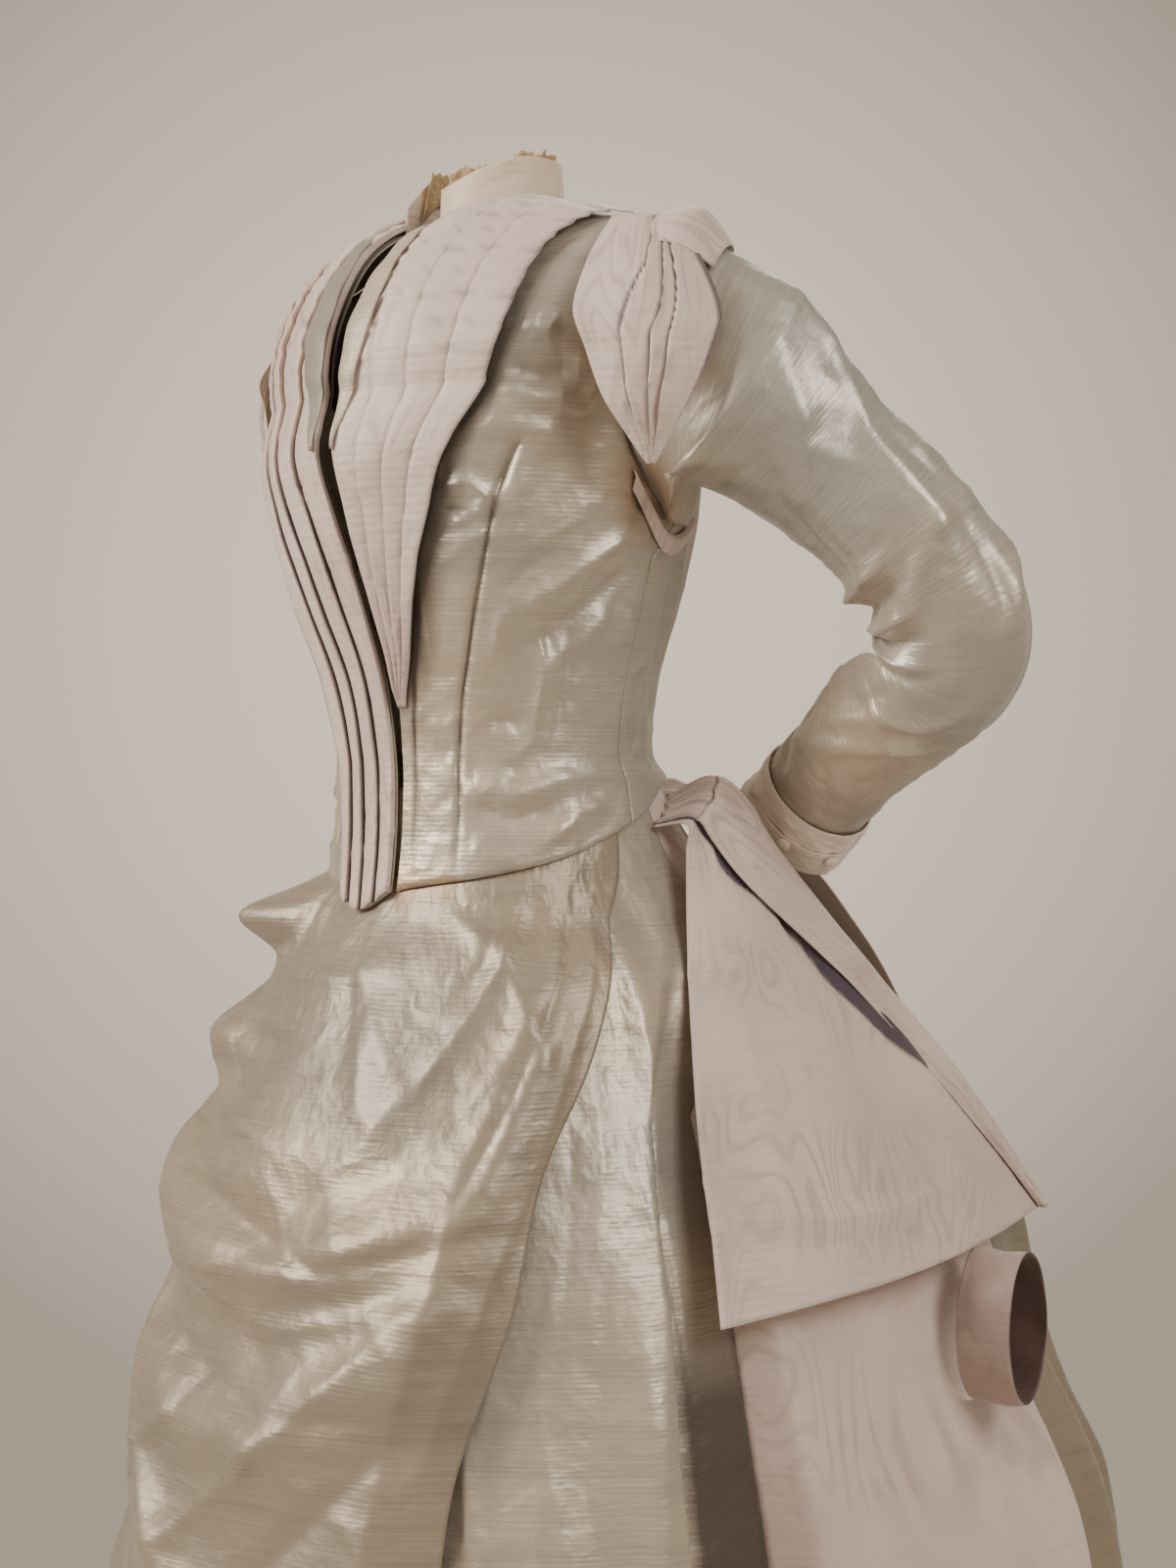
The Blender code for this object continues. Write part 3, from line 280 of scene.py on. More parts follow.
def yoke_point(angle: Grid, share: Grid, lift: Grid | float = 0.0) -> Grid:
    """Points over the chest or shoulder blade, from the yoke level to the neck or ridge.

    Args:
        angle: Angles at the yoke level.
        share: Share of the way over the shoulder.
        lift: How far the points are moved out.

    Returns:
        A grid of points.
    """
    base = outline(TORSO, angle, np.full_like(angle, YOKE_LEVEL))
    front = np.cos(np.radians(angle)) > 0
    wide = base[..., 0] * RIDGE_SPREAD
    reach = np.sqrt(np.maximum(NECK_RADIUS ** 2 - wide ** 2, 0))
    full = np.where(np.abs(wide) >= NECK_RADIUS, math.pi / 2,
                    np.arccos(np.clip(reach / np.abs(base[..., 1] - RIDGE_Y), 0, 1)))
    turn = share * full
    rise = np.sin(turn)
    seam = RIDGE_Y + np.where(front, -RIDGE_GAP, RIDGE_GAP)
    x = base[..., 0] * (1 + (RIDGE_SPREAD - 1) * rise)
    y = seam + (base[..., 1] - seam) * np.cos(turn)
    z = YOKE_LEVEL + (ridge_level(wide, front) - YOKE_LEVEL) * rise
    out = unit(np.stack([base[..., 0] * 0.6 * np.cos(turn),
                         (base[..., 1] - RIDGE_Y) * np.cos(turn), 0.13 * rise + 0.01], -1))
    return np.stack([x, y, z], -1) + out * np.asarray(lift)[..., None]


def bodice_point(row: Grid, angle: Grid, lift: Grid | float = 0.0) -> Grid:
    """Points of the bodice on rows of its cut, between the tabled rows too.

    Args:
        row: Row numbers, 0 at the hem and 14 at the shoulder line.
        angle: Angles round the body.
        lift: How far the points are moved out.

    Returns:
        A grid of points.
    """
    lift = np.broadcast_to(np.asarray(lift, float), row.shape)
    hem = BASQUE_HEM.at("level", "angle", angle) * (1 - row / WAIST_ROW)
    body = np.interp(row, np.arange(len(CUT_LEVELS)) + WAIST_ROW, CUT_LEVELS)
    low = outline(TORSO, angle, np.where(row < WAIST_ROW, hem, body), lift)
    high = yoke_point(angle, np.clip((row - YOKE_ROW) / (RIDGE_ROW - YOKE_ROW), 0, 1), lift)
    return np.where((row > YOKE_ROW)[..., None], high, low)


def over(row: Grid) -> Grid:
    """Share of the way over the shoulder at a row of the cut."""
    return np.clip((row - YOKE_ROW) / (RIDGE_ROW - YOKE_ROW), 0, 1)


def warped(share: Grid, row: Grid) -> Grid:
    """Share across a bodice piece, drawn towards the middle near the neck."""
    share = np.clip(share, 0, 1)
    return share + (share ** 1.6 - share) * over(row)


def rows_and_shares(first: float, last: float, rows: int, columns: int) -> tuple[Grid, Grid]:
    """A grid's row values from first to last, downwards, and its shares across.

    Args:
        first: Value of the top row.
        last: Value of the bottom row.
        rows: Number of rows.
        columns: Number of columns.

    Returns:
        The row values and the shares, both as grids.
    """
    down, across = np.meshgrid(np.linspace(first, last, rows), np.linspace(0, 1, columns),
                               indexing="ij")
    return down, across


@dataclass(frozen=True)
class Fold:
    """A soft ridge, or a trough where its height is negative, along a path on the flat cloth."""

    path: tuple[tuple[float, float], ...]
    height: float
    width: float
    peak: float = 1.4

    def relief(self, u: Grid, v: Grid) -> Grid:
        """Height of the fold at places on the cloth.

        Args:
            u: Distance across the cloth, in metres.
            v: Distance up the cloth, in metres.

        Returns:
            The height at each place.
        """
        best = np.full(u.shape, 1e9)
        where = np.zeros(u.shape)
        steps = len(self.path) - 1
        for index, ((ua, va), (ub, vb)) in enumerate(zip(self.path, self.path[1:])):
            du, dv = ub - ua, vb - va
            share = np.clip(((u - ua) * du + (v - va) * dv) / (du * du + dv * dv + 1e-12), 0, 1)
            gap = np.hypot(u - ua - share * du, v - va - share * dv)
            where = np.where(gap < best, (index + share) / steps, where)
            best = np.minimum(best, gap)
        taper = np.minimum(1.0, 4.0 * np.minimum(where, 1 - where) + 0.12)
        return self.height * taper * np.exp(-(best / self.width) ** self.peak)


@dataclass(frozen=True)
class Crumple:
    """Short uneven creases that taffeta keeps, strewn with a fixed seed."""

    count: int
    seed: int
    height: float = 0.0016
    length: float = 0.07
    width: float = 0.006
    heading: float = 20.0
    spread: float = 50.0

    def relief(self, u: Grid, v: Grid) -> Grid:
        """Height of all the creases at places on the cloth.

        Args:
            u: Distance across the cloth, in metres.
            v: Distance up the cloth, in metres.

        Returns:
            The height at each place.
        """
        draw = random.Random(self.seed)
        total = np.zeros(u.shape)
        for _ in range(self.count):
            cu = draw.uniform(u.min(), u.max())
            cv = draw.uniform(v.min(), v.max())
            size = self.length * draw.uniform(0.3, 1.3) / 2
            turn = math.radians(self.heading + draw.uniform(-1, 1) * self.spread)
            bend = draw.uniform(-0.4, 0.4) * size
            du, dv = math.cos(turn) * size, math.sin(turn) * size
            path = ((cu - du, cv - dv), (cu - dv * bend / size, cv + du * bend / size),
                    (cu + du, cv + dv))
            height = self.height * draw.uniform(0.35, 1.2) * draw.choice((1, 1, -1))
            width = self.width * draw.uniform(0.5, 1.6)
            total += Fold(path, height, width, 1.1).relief(u, v)
        return total


def relief_of(folds: tuple[Fold | Crumple, ...], u: Grid, v: Grid) -> Grid:
    """Sum of the folds' heights at places on the cloth.

    Args:
        folds: Folds and crumples.
        u: Distance across the cloth.
        v: Distance up the cloth.

    Returns:
        The total height at each place.
    """
    total = np.zeros(u.shape)
    for fold in folds:
        total += fold.relief(u, v)
    return total


def linear(colour: Colour) -> tuple[float, float, float, float]:
    """A display colour of 0 to 255 as linear red, green, blue and alpha."""
    parts = [value / 255 for value in colour]
    mapped = [p / 12.92 if p <= 0.04045 else ((p + 0.055) / 1.055) ** 2.4 for p in parts]
    return (mapped[0], mapped[1], mapped[2], 1.0)


class Recipe:
    """A material's node tree, filled step by step."""

    def __init__(self, name: str) -> None:
        """Start a material with its shader.

        Args:
            name: Name of the material.
        """
        self.material = bpy.data.materials.new(name)
        self.material.use_nodes = True
        self.tree = self.material.node_tree
        self.shader = self.tree.nodes["Principled BSDF"]
        self.uv = self.add("TexCoord", {}).outputs["UV"]
        self.place = self.add("NewGeometry", {}).outputs["Position"]

    def add(self, kind: str, inputs: dict, **settings: object) -> bpy.types.Node:
        """Add a node.

        Args:
            kind: Kind of shader node.
            inputs: Values or sockets by input name or number.
            settings: The node's own settings.

        Returns:
            The new node.
        """
        node = self.tree.nodes.new("ShaderNode" + kind)
        for key, value in settings.items():
            setattr(node, key, value)
        for key, value in inputs.items():
            self.feed(node.inputs[key], value)
        return node

    def feed(self, socket: bpy.types.NodeSocket, value: object) -> None:
        """Set a socket, or link it to another socket."""
        if isinstance(value, bpy.types.NodeSocket):
            self.tree.links.new(value, socket)
        else:
            socket.default_value = value

    def mix(self, factor: object, first: object, second: object,
            blend: str = "MIX") -> bpy.types.NodeSocket:
        """Mix two colours.

        Args:
            factor: How much of the second colour.
            first: First colour or socket.
            second: Second colour or socket.
            blend: How the colours are blended.

        Returns:
            The mixed colour.
        """
        node = self.add("Mix", {0: factor, 6: first, 7: second}, data_type="RGBA",
                        blend_type=blend)
        return node.outputs[2]

    def sum(self, operation: str, first: object, second: object) -> bpy.types.NodeSocket:
        """A sum of two numbers or sockets."""
        return self.add("Math", {0: first, 1: second}, operation=operation).outputs[0]

    def noise(self, source: bpy.types.NodeSocket, scale: float, detail: float = 3.0,
              stretch: tuple[float, float, float] = (1.0, 1.0, 1.0),
              distortion: float = 0.0) -> bpy.types.NodeSocket:
        """Cloudy noise, stretched along the cloth.

        Args:
            source: Coordinates in metres.
            scale: Clouds in a metre.
            detail: Octaves.
            stretch: Scale along each axis.
            distortion: How much the clouds are swirled.

        Returns:
            The noise's strength, 0 to 1.
        """
        mapped = self.add("Mapping", {"Vector": source, "Scale": stretch}).outputs[0]
        return self.add("TexNoise", {"Vector": mapped, "Scale": scale, "Detail": detail,
                                     "Distortion": distortion}).outputs["Fac"]

    def facets(self, scale: float, stretch: tuple[float, float, float]) -> bpy.types.NodeSocket:
        """Uneven facets with crisp edges, as crumpled silk has.

        Args:
            scale: Facets in a metre.
            stretch: Scale along each axis.

        Returns:
            The height, 0 to 1.
        """
        bend = self.add("TexNoise", {"Vector": self.uv, "Scale": scale * 1.3, "Detail": 3.0})
        moved = self.add("VectorMath", {0: bend.outputs["Color"], 1: (0.5, 0.5, 0.5)},
                         operation="SUBTRACT").outputs[0]
        scaled = self.add("VectorMath", {0: moved, "Scale": 1.4 / scale}, operation="SCALE")
        place = self.add("VectorMath", {0: self.uv, 1: scaled.outputs[0]}, operation="ADD")
        mapped = self.add("Mapping", {"Vector": place.outputs[0], "Scale": stretch}).outputs[0]
        return self.add("TexVoronoi", {"Vector": mapped, "Scale": scale, "Smoothness": 0.15},
                        feature="SMOOTH_F1").outputs["Distance"]

    def clamp(self, value: object, low: float, high: float) -> bpy.types.NodeSocket:
        """A number spread from the range low to high over 0 to 1."""
        return self.add("MapRange", {"Value": value, "From Min": low,
                                     "From Max": high}).outputs[0]

    def bump(self, height: object, distance: float, strength: float,
             under: object = None) -> bpy.types.NodeSocket:
        """Bump from a height.

        Args:
            height: Height socket, 0 to 1.
            distance: Full height in metres.
            strength: Strength from 0 to 1.
            under: An earlier bump's output.

        Returns:
            The bent normal.
        """
        inputs = {"Height": height, "Distance": distance, "Strength": strength}
        if under is not None:
            inputs["Normal"] = under
        return self.add("Bump", inputs).outputs[0]

    def finish(self, colour: object, normal: object, roughness: object,
               **values: float) -> bpy.types.Material:
        """Feed the shader.

        Args:
            colour: Base colour.
            normal: Bent normal.
            roughness: Roughness.
            values: Further numbers by the shader's input names, with _ for a blank.

        Returns:
            The material.
        """
        self.feed(self.shader.inputs["Base Color"], colour)
        self.feed(self.shader.inputs["Normal"], normal)
        self.feed(self.shader.inputs["Roughness"], roughness)
        for name, value in values.items():
            self.feed(self.shader.inputs[name.replace("_", " ")], value)
        return self.material


@dataclass(frozen=True)
class Stain:
    """A stained place, round and with a ragged edge."""

    centre: tuple[float, float, float]
    radius: float
    colour: Colour
    strength: float

    def lay(self, recipe: Recipe, colour: bpy.types.NodeSocket) -> bpy.types.NodeSocket:
        """Stain a colour.

        Args:
            recipe: The material.
            colour: The clean colour.

        Returns:
            The stained colour.
        """
        gap = recipe.add("VectorMath", {0: recipe.place, 1: self.centre}, operation="DISTANCE")
        ragged = recipe.sum("MULTIPLY", recipe.noise(recipe.place, 55.0, 4.0), self.radius)
        edge = recipe.sum("ADD", gap.outputs["Value"], ragged)
        mask = recipe.clamp(edge, self.radius * 1.5, self.radius * 0.7)
        strong = recipe.sum("MULTIPLY", mask, self.strength)
        return recipe.mix(strong, colour, linear(self.colour), "MULTIPLY")


@dataclass(frozen=True)
class Taffeta:
    """Crisp shot taffeta: silver warp over a warm weft, with weft bars and a dry gloss."""

    name: str
    cool: Colour = (174, 169, 160)
    warm: Colour = (202, 187, 166)
    bar: Colour = (150, 140, 126)
    # gap: colour of painted shade in the deep skirt fold and under the revers' edge, also used for
    # the dark dart lines
    gap: Colour = (58, 46, 42)
    roughness: float = 0.41
    metal: float = 0.48
    crush: float = 1.0
    rib: float = 1900.0
    stains: tuple[Stain, ...] = ()

    def material(self) -> bpy.types.Material:
        """The finished material."""
        recipe = Recipe(self.name)
        cloud = recipe.clamp(recipe.noise(recipe.place, 5.0, 3.0), 0.36, 0.64)
        colour = recipe.mix(cloud, linear(self.cool), linear(self.warm))
        bars = recipe.clamp(recipe.noise(recipe.uv, 7.0, 4.0, (0.5, 9.0, 1.0)), 0.52, 0.74)
        colour = recipe.mix(recipe.sum("MULTIPLY", bars, 0.35), colour, linear(self.bar))
        # Streaks along the weft: partly real slubs in the yarn, partly painted sheen streaks.
        slub_and_sheen_streaks = recipe.noise(recipe.uv, 60.0, 3.0, (0.25, 14.0, 1.0))
        colour = recipe.mix(0.26, colour, slub_and_sheen_streaks, "OVERLAY")
        for stain in self.stains:
            colour = stain.lay(recipe, colour)
        # Painted shade: the shade attribute darkens the colour towards gap in hollows and under
        # edges, and along the dart lines.
        shade = recipe.add("Attribute", {}, attribute_name="shade").outputs["Fac"]
        colour = recipe.mix(shade, colour, linear(self.gap))
        normal = recipe.bump(recipe.facets(11.0, (0.8, 1.2, 1.0)), 0.0062 * self.crush, 0.45)
        normal = recipe.bump(recipe.facets(30.0, (0.6, 1.5, 1.0)), 0.0026 * self.crush, 0.45,
                             normal)
        fine = recipe.noise(recipe.uv, 120.0, 2.0, (0.3, 2.6, 1.0), 0.4)
        normal = recipe.bump(fine, 0.0007, 0.4, normal)
        ribs = recipe.add("TexWave", {"Vector": recipe.uv, "Scale": self.rib / 20, "Distortion": 1.5,
                                      "Detail": 1.0}, bands_direction="Y").outputs["Fac"]
        normal = recipe.bump(ribs, 0.0002, 0.25, normal)
        rough = recipe.sum("MULTIPLY_ADD", recipe.noise(recipe.uv, 18.0, 2.0), 0.16)
        rough.node.inputs[2].default_value = self.roughness - 0.08
        return recipe.finish(colour, normal, rough, Metallic=self.metal, Sheen_Weight=0.2,
                             Sheen_Roughness=0.4)


@dataclass(frozen=True)
class Faille:
    """Ribbed lilac faille with a watered figure and faint bars."""

    name: str
    light: Colour = (216, 197, 186)
    deep: Colour = (178, 155, 150)
    # gap: colour of painted shade in pleat gaps, gather hollows, beside the sash band and in its dark
    # openings
    gap: Colour = (52, 34, 58)
    water: float = 0.9
    roughness: float = 0.52
    stains: tuple[Stain, ...] = ()

    def material(self) -> bpy.types.Material:
        """The finished material."""
        recipe = Recipe(self.name)
        cloud = recipe.clamp(recipe.noise(recipe.place, 7.0, 2.0), 0.38, 0.62)
        colour = recipe.mix(recipe.sum("MULTIPLY", cloud, 0.45), linear(self.light),
                            linear(self.deep))
        swirl = recipe.noise(recipe.uv, 6.0, 2.0, (2.6, 0.8, 1.0), 0.6)
        grain = recipe.sum("ADD", recipe.sum("MULTIPLY", swirl, 16.0),
                           recipe.sum("MULTIPLY", self.across(recipe), 42.0))
        lines = recipe.add("Math", {0: recipe.sum("MULTIPLY", grain, 6.28)}, operation="SINE")
        patch = recipe.clamp(recipe.noise(recipe.uv, 9.0, 2.0, (0.6, 1.5, 1.0)), 0.42, 0.62)
        figure = recipe.sum("MULTIPLY", recipe.clamp(lines.outputs[0], 0.1, 1.0), patch)
        colour = recipe.mix(recipe.sum("MULTIPLY", figure, self.water * 0.66), colour,
                            linear(self.deep))
        for stain in self.stains:
            colour = stain.lay(recipe, colour)
        # Painted shade: the shade attribute darkens the colour towards gap in pleat gaps and hollows.
        shade = recipe.add("Attribute", {}, attribute_name="shade").outputs["Fac"]
        colour = recipe.mix(shade, colour, linear(self.gap))
        normal = recipe.bump(recipe.noise(recipe.uv, 30.0, 3.0, (0.7, 1.5, 1.0), 0.8), 0.005, 0.4)
        ribs = recipe.add("TexWave", {"Vector": recipe.uv, "Scale": 55.0, "Distortion": 0.8,
                                      "Detail": 1.0}, bands_direction="Y").outputs["Fac"]
        normal = recipe.bump(ribs, 0.0003, 0.45, normal)
        return recipe.finish(colour, normal, self.roughness, Sheen_Weight=0.35,
                             Sheen_Roughness=0.45)

    def across(self, recipe: Recipe) -> bpy.types.NodeSocket:
        """The cloth's own across coordinate, in metres."""
        return recipe.add("SeparateXYZ", {"Vector": recipe.uv}).outputs["X"]


@dataclass(frozen=True)
class Lace:
    """Ecru cotton lace with small holes."""

    name: str = "ecru_lace"
    thread: Colour = (190, 166, 124)
    deep: Colour = (140, 112, 74)
    mesh: float = 420.0

    def material(self) -> bpy.types.Material:
        """The finished material."""
        recipe = Recipe(self.name)
        cells = recipe.add("TexVoronoi", {"Vector": recipe.uv, "Scale": self.mesh})
        far = cells.outputs["Distance"]
        colour = recipe.mix(recipe.noise(recipe.uv, 90.0, 3.0), linear(self.thread),
                            linear(self.deep))
        normal = recipe.bump(far, 0.0006, 0.8)
        hole = recipe.clamp(far, 0.22, 0.30)
        solid = recipe.clamp(recipe.noise(recipe.uv, 150.0, 1.0), 0.44, 0.50)
        alpha = recipe.sum("MAXIMUM", hole, solid)
        return recipe.finish(colour, normal, 0.9, Alpha=alpha, Sheen_Weight=0.3)


class Held(Enum):
    """How a piece of cloth is held in the dress."""

    HUNG = "hung"
    GATHERED = "gathered"
    DRAPED = "draped"
    FOLDED = "folded"
    STRETCHED = "stretched"


@dataclass
class ClothPiece:
    """One cloth piece on a grid of outer points, thickened inwards."""

    name: str
    points: Grid
    uv: Grid
    held: Held
    slot: str
    shade: Grid | None = None
    closed: bool = False
    thickness: float = 0.0009
    nodes: tuple[str, ...] = field(default_factory=tuple)

    def normals(self) -> Grid:
        """Outward directions at the grid's points."""
        if self.closed:
            across = np.roll(self.points, -1, axis=1) - np.roll(self.points, 1, axis=1)
        else:
            across = np.gradient(self.points, axis=1)
        return unit(np.cross(np.gradient(self.points, axis=0), across))

    def raised(self, height: Grid) -> "ClothPiece":
        """Move the points out by a height each."""
        self.points = self.points + self.normals() * height[..., None]
        return self

    def creased(self, *folds: Fold | Crumple) -> "ClothPiece":
        """Raise the folds given in the cloth's own coordinates."""
        return self.raised(relief_of(folds, self.uv[..., 0], self.uv[..., 1]))

    def mirrored(self, name: str) -> "ClothPiece":
        """The other side's piece, with its columns in order for an outward face."""
        flip = np.array([-1.0, 1.0, 1.0])
        shade = None if self.shade is None else self.shade[:, ::-1]
        return ClothPiece(name, (self.points * flip)[:, ::-1], self.uv[:, ::-1], self.held,
                          self.slot, shade, self.closed, self.thickness)

    def cut(self) -> tuple[float, float, float]:
        """Width, length and area of the flat cloth, measured on the grid."""
        points = self.points
        if self.closed:
            points = np.concatenate([points, points[:, :1]], axis=1)
        across = np.linalg.norm(np.diff(points, axis=1), axis=-1)
        down = np.linalg.norm(np.diff(points, axis=0), axis=-1)
        one = np.cross(points[1:, :-1] - points[:-1, :-1], points[:-1, 1:] - points[:-1, :-1])
        two = np.cross(points[1:, :-1] - points[1:, 1:], points[:-1, 1:] - points[1:, 1:])
        area = (np.linalg.norm(one, axis=-1).sum() + np.linalg.norm(two, axis=-1).sum()) / 2
        width, length = across.sum(axis=1).max(), down.sum(axis=0).max()
        return width, length, min(area, width * length)

    def mesh(self) -> bpy.types.Mesh:
        """The grid as a mesh with its cloth coordinates and shade."""
        rows, columns = self.points.shape[:2]
        index = np.arange(rows * columns).reshape(rows, columns)
        after = np.roll(index, -1, axis=1) if self.closed else index[:, 1:]
        before = index if self.closed else index[:, :-1]
        faces = np.stack([before[:-1], before[1:], after[1:], after[:-1]], -1).reshape(-1, 4)
        mesh = bpy.data.meshes.new(self.name)
        mesh.from_pydata(self.points.reshape(-1, 3).tolist(), [], faces.tolist())
        layer = mesh.uv_layers.new(name="cloth")
        layer.data.foreach_set("uv", self.uv.reshape(-1, 2)[faces.reshape(-1)].ravel())
        shade = np.zeros(rows * columns) if self.shade is None else self.shade.ravel()
        mesh.attributes.new("shade", "FLOAT", "POINT").data.foreach_set("value", shade)
        mesh.polygons.foreach_set("use_smooth", np.ones(len(faces), dtype=bool))
        mesh.update()
        return mesh

    def build(self, material: bpy.types.Material,
              inside: bpy.types.Material | None = None) -> bpy.types.Object:
        """Make the object and tie it to the frame.

        Args:
            material: The cloth's finish.
            inside: Another finish for the face that its grid turns away from.

        Returns:
            The object.
        """
        mesh = self.mesh()
        mesh.materials.append(material)
        piece = bpy.data.objects.new(self.name + "_cloth", mesh)
        bpy.context.scene.collection.objects.link(piece)
        wall = piece.modifiers.new("wall", "SOLIDIFY")
        wall.thickness = self.thickness
        wall.offset = -1
        if inside is not None:
            mesh.materials.append(inside)
            wall.material_offset = 1
        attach(piece, "root")
        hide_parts(*(self.nodes or (self.name,)))
        width, length, area = self.cut()
        round(min(area, round(width, 3) * round(length, 3)), 5)
        LOG.info("%s: %.0f x %.0f mm of cloth", self.name, width * 1000, length * 1000)
        return piece


def pair(piece: ClothPiece, material: bpy.types.Material,
         inside: bpy.types.Material | None = None) -> None:
    """Build a left piece and its mirror image.

    Args:
        piece: The left piece, whose name ends in left.
        material: The cloth's finish.
        inside: Another finish for the face that its grid turns away from.
    """
    other = piece.mirrored(piece.name.replace("left", "right"))
    piece.build(material, inside)
    other.build(material, inside)


def flat_uv(u: Grid, v: Grid) -> Grid:
    """Cloth coordinates from two grids."""
    return np.stack([u, v], -1)


def at_body(angle: float, level: float) -> tuple[float, float]:
    """Cloth coordinates of a place on the bodice."""
    return (math.radians(angle) * BODY_RADIUS, level)


def at_skirt(angle: float, level: float) -> tuple[float, float]:
    """Cloth coordinates of a place on the skirt or the apron."""
    return (math.radians(angle) * SKIRT_RADIUS, level)


@dataclass
class Bodice:
    """Fronts with darts, side backs and backs, the short peplum cut in one with each."""

    rows: int = 120
    front_columns: int = 120
    side_columns: int = 36
    back_columns: int = 60
    seam: float = 0.10
    under_revers: float = 0.22
    crease: float = 1.35

    def seam_at(self, name: str, row: Grid) -> Grid:
        """A seam's angle at rows of the cut, straight between them."""
        return np.interp(row, CUT.column("row"), CUT.column(name))

    def front(self, side: str) -> ClothPiece:
        """One front, from the opening to the side seam or armhole.

        Args:
            side: left or right.

        Returns:
            The front.
        """
        row, share = rows_and_shares(RIDGE_ROW, 0, self.rows, self.front_columns)
        edge = CUT.at(side + "_edge", "row", row)
        outer = CUT.at(side + "_revers", "row", row)
        end = self.seam_at("front_seam", row) - self.seam
        first = edge + (outer - edge) * warped(share / self.under_revers, row)
        rest = (share - self.under_revers) / (1 - self.under_revers)
        angle = np.where(share < self.under_revers, first, outer + (end - outer) * rest)
        points = bodice_point(row, angle)
        uv = flat_uv(np.radians(angle) * BODY_RADIUS, points[..., 2])
        piece = ClothPiece("bodice_front_" + side, points, uv, Held.STRETCHED, "silver")
        under = np.clip((share - self.under_revers) / 0.05, 0, 1)
        rim = np.clip((1 - share) / 0.03, 0, 1) * np.clip(row / 0.4, 0, 1)
        edge_fade = under * rim * np.clip((RIDGE_ROW - row) / 1.0, 0, 1)
        height = relief_of(self.front_folds(7 if side == "left" else 8), uv[..., 0], uv[..., 1])
        piece.raised(self.crease * height * edge_fade)
        # The shade attribute holds the dark dart lines and, as deep, painted shadow under and just
        # beside the revers' outer edge.
        stitched = -relief_of(self.darts(0.0016, 1.0), uv[..., 0], uv[..., 1])
        deep = np.clip((0.10 - (share - self.under_revers)) / 0.08, 0, 1) * np.clip(
            (row - WAIST_ROW) / 2, 0, 1) * np.clip((12.5 - row) / 2, 0, 1)
        piece.shade = np.clip(0.85 * stitched + 0.85 * deep, 0, 0.9)
        if side == "right":
            return piece.mirrored(piece.name)
        return piece

    def darts(self, width: float, height: float) -> tuple[Fold, ...]:
        """The two waist darts as troughs of a width and height."""
        return tuple(
            Fold(tuple(at_body(a, z) for a, z in path), -height, width, 1.6)
            for path in (
                ((30, 0.112), (24, 0.05), (22, 0.0), (20, -0.088)),
                ((60, 0.205), (53, 0.165), (47, 0.10), (41, 0.04), (38, -0.02), (36, -0.086)),
            ))

    def front_folds(self, seed: int) -> tuple[Fold | Crumple, ...]:
        """Darts, strain folds and crumples of a front.

        Args:
            seed: Seed of the crumples.

        Returns:
            The folds.
        """
        darts = self.darts(0.0024, 0.0022)
        hand = tuple(
            Fold(tuple(at_body(a, z) for a, z in path), height, width, 1.25)
            for path, height, width in (
                (((60, 0.206), (57, 0.188), (54, 0.168)), -0.0040, 0.0036),
                (((40, 0.172), (46, 0.176), (51, 0.166), (48, 0.158)), 0.0038, 0.0040),
                (((38, 0.160), (43, 0.158), (49, 0.150)), -0.0030, 0.0034),
                (((42, 0.148), (46, 0.154), (52, 0.158)), 0.0030, 0.0034),
                (((34, 0.196), (38, 0.186), (42, 0.180)), -0.0034, 0.0040),
                (((96, 0.150), (84, 0.134), (70, 0.108), (58, 0.092)), 0.0044, 0.0070),
                (((98, 0.128), (86, 0.104), (72, 0.080), (60, 0.068)), -0.0044, 0.0075),
                (((92, 0.098), (80, 0.074), (68, 0.056)), 0.0036, 0.0070),
                (((56, 0.096), (53, 0.080), (52, 0.060)), 0.0026, 0.0060),
                (((50, 0.018), (56, 0.022), (64, 0.016)), -0.0034, 0.0050),
                (((66, 0.090), (68, 0.050), (66, 0.010)), 0.0030, 0.0055),
                (((76, 0.084), (78, 0.050), (74, 0.014)), -0.0026, 0.0060),
                (((28, 0.052), (34, 0.050), (40, 0.052)), -0.0024, 0.0024),
                (((30, 0.004), (34, 0.000), (37, 0.003)), -0.0024, 0.0026),
                (((28, 0.120), (31, 0.090), (32, 0.060)), 0.0022, 0.0040),
                (((42, -0.020), (56, -0.030), (74, -0.018), (96, -0.014)), 0.0042, 0.0065),
                (((44, -0.034), (58, -0.044), (76, -0.034)), -0.0038, 0.0060),
                (((96, -0.030), (82, -0.042), (66, -0.064)), 0.0032, 0.0060),
                (((98, -0.044), (88, -0.056), (80, -0.064)), -0.0024, 0.0045),
                (((40, -0.060), (50, -0.070), (62, -0.072)), 0.0022, 0.0050),
                (((52, 0.252), (62, 0.246), (72, 0.250)), -0.0040, 0.0060),
                (((50, 0.238), (62, 0.230), (73, 0.232)), 0.0040, 0.0060),
                (((54, 0.282), (58, 0.272), (64, 0.278)), 0.0030, 0.0050),
                (((46, 0.214), (58, 0.212), (72, 0.204)), 0.0022, 0.0050),
            ))
        return darts + hand + (
            Crumple(90, seed, 0.0016, 0.055, 0.0040, 12.0, 45.0),
            Crumple(40, seed + 20, 0.0018, 0.045, 0.0050, 70.0, 40.0),
        )

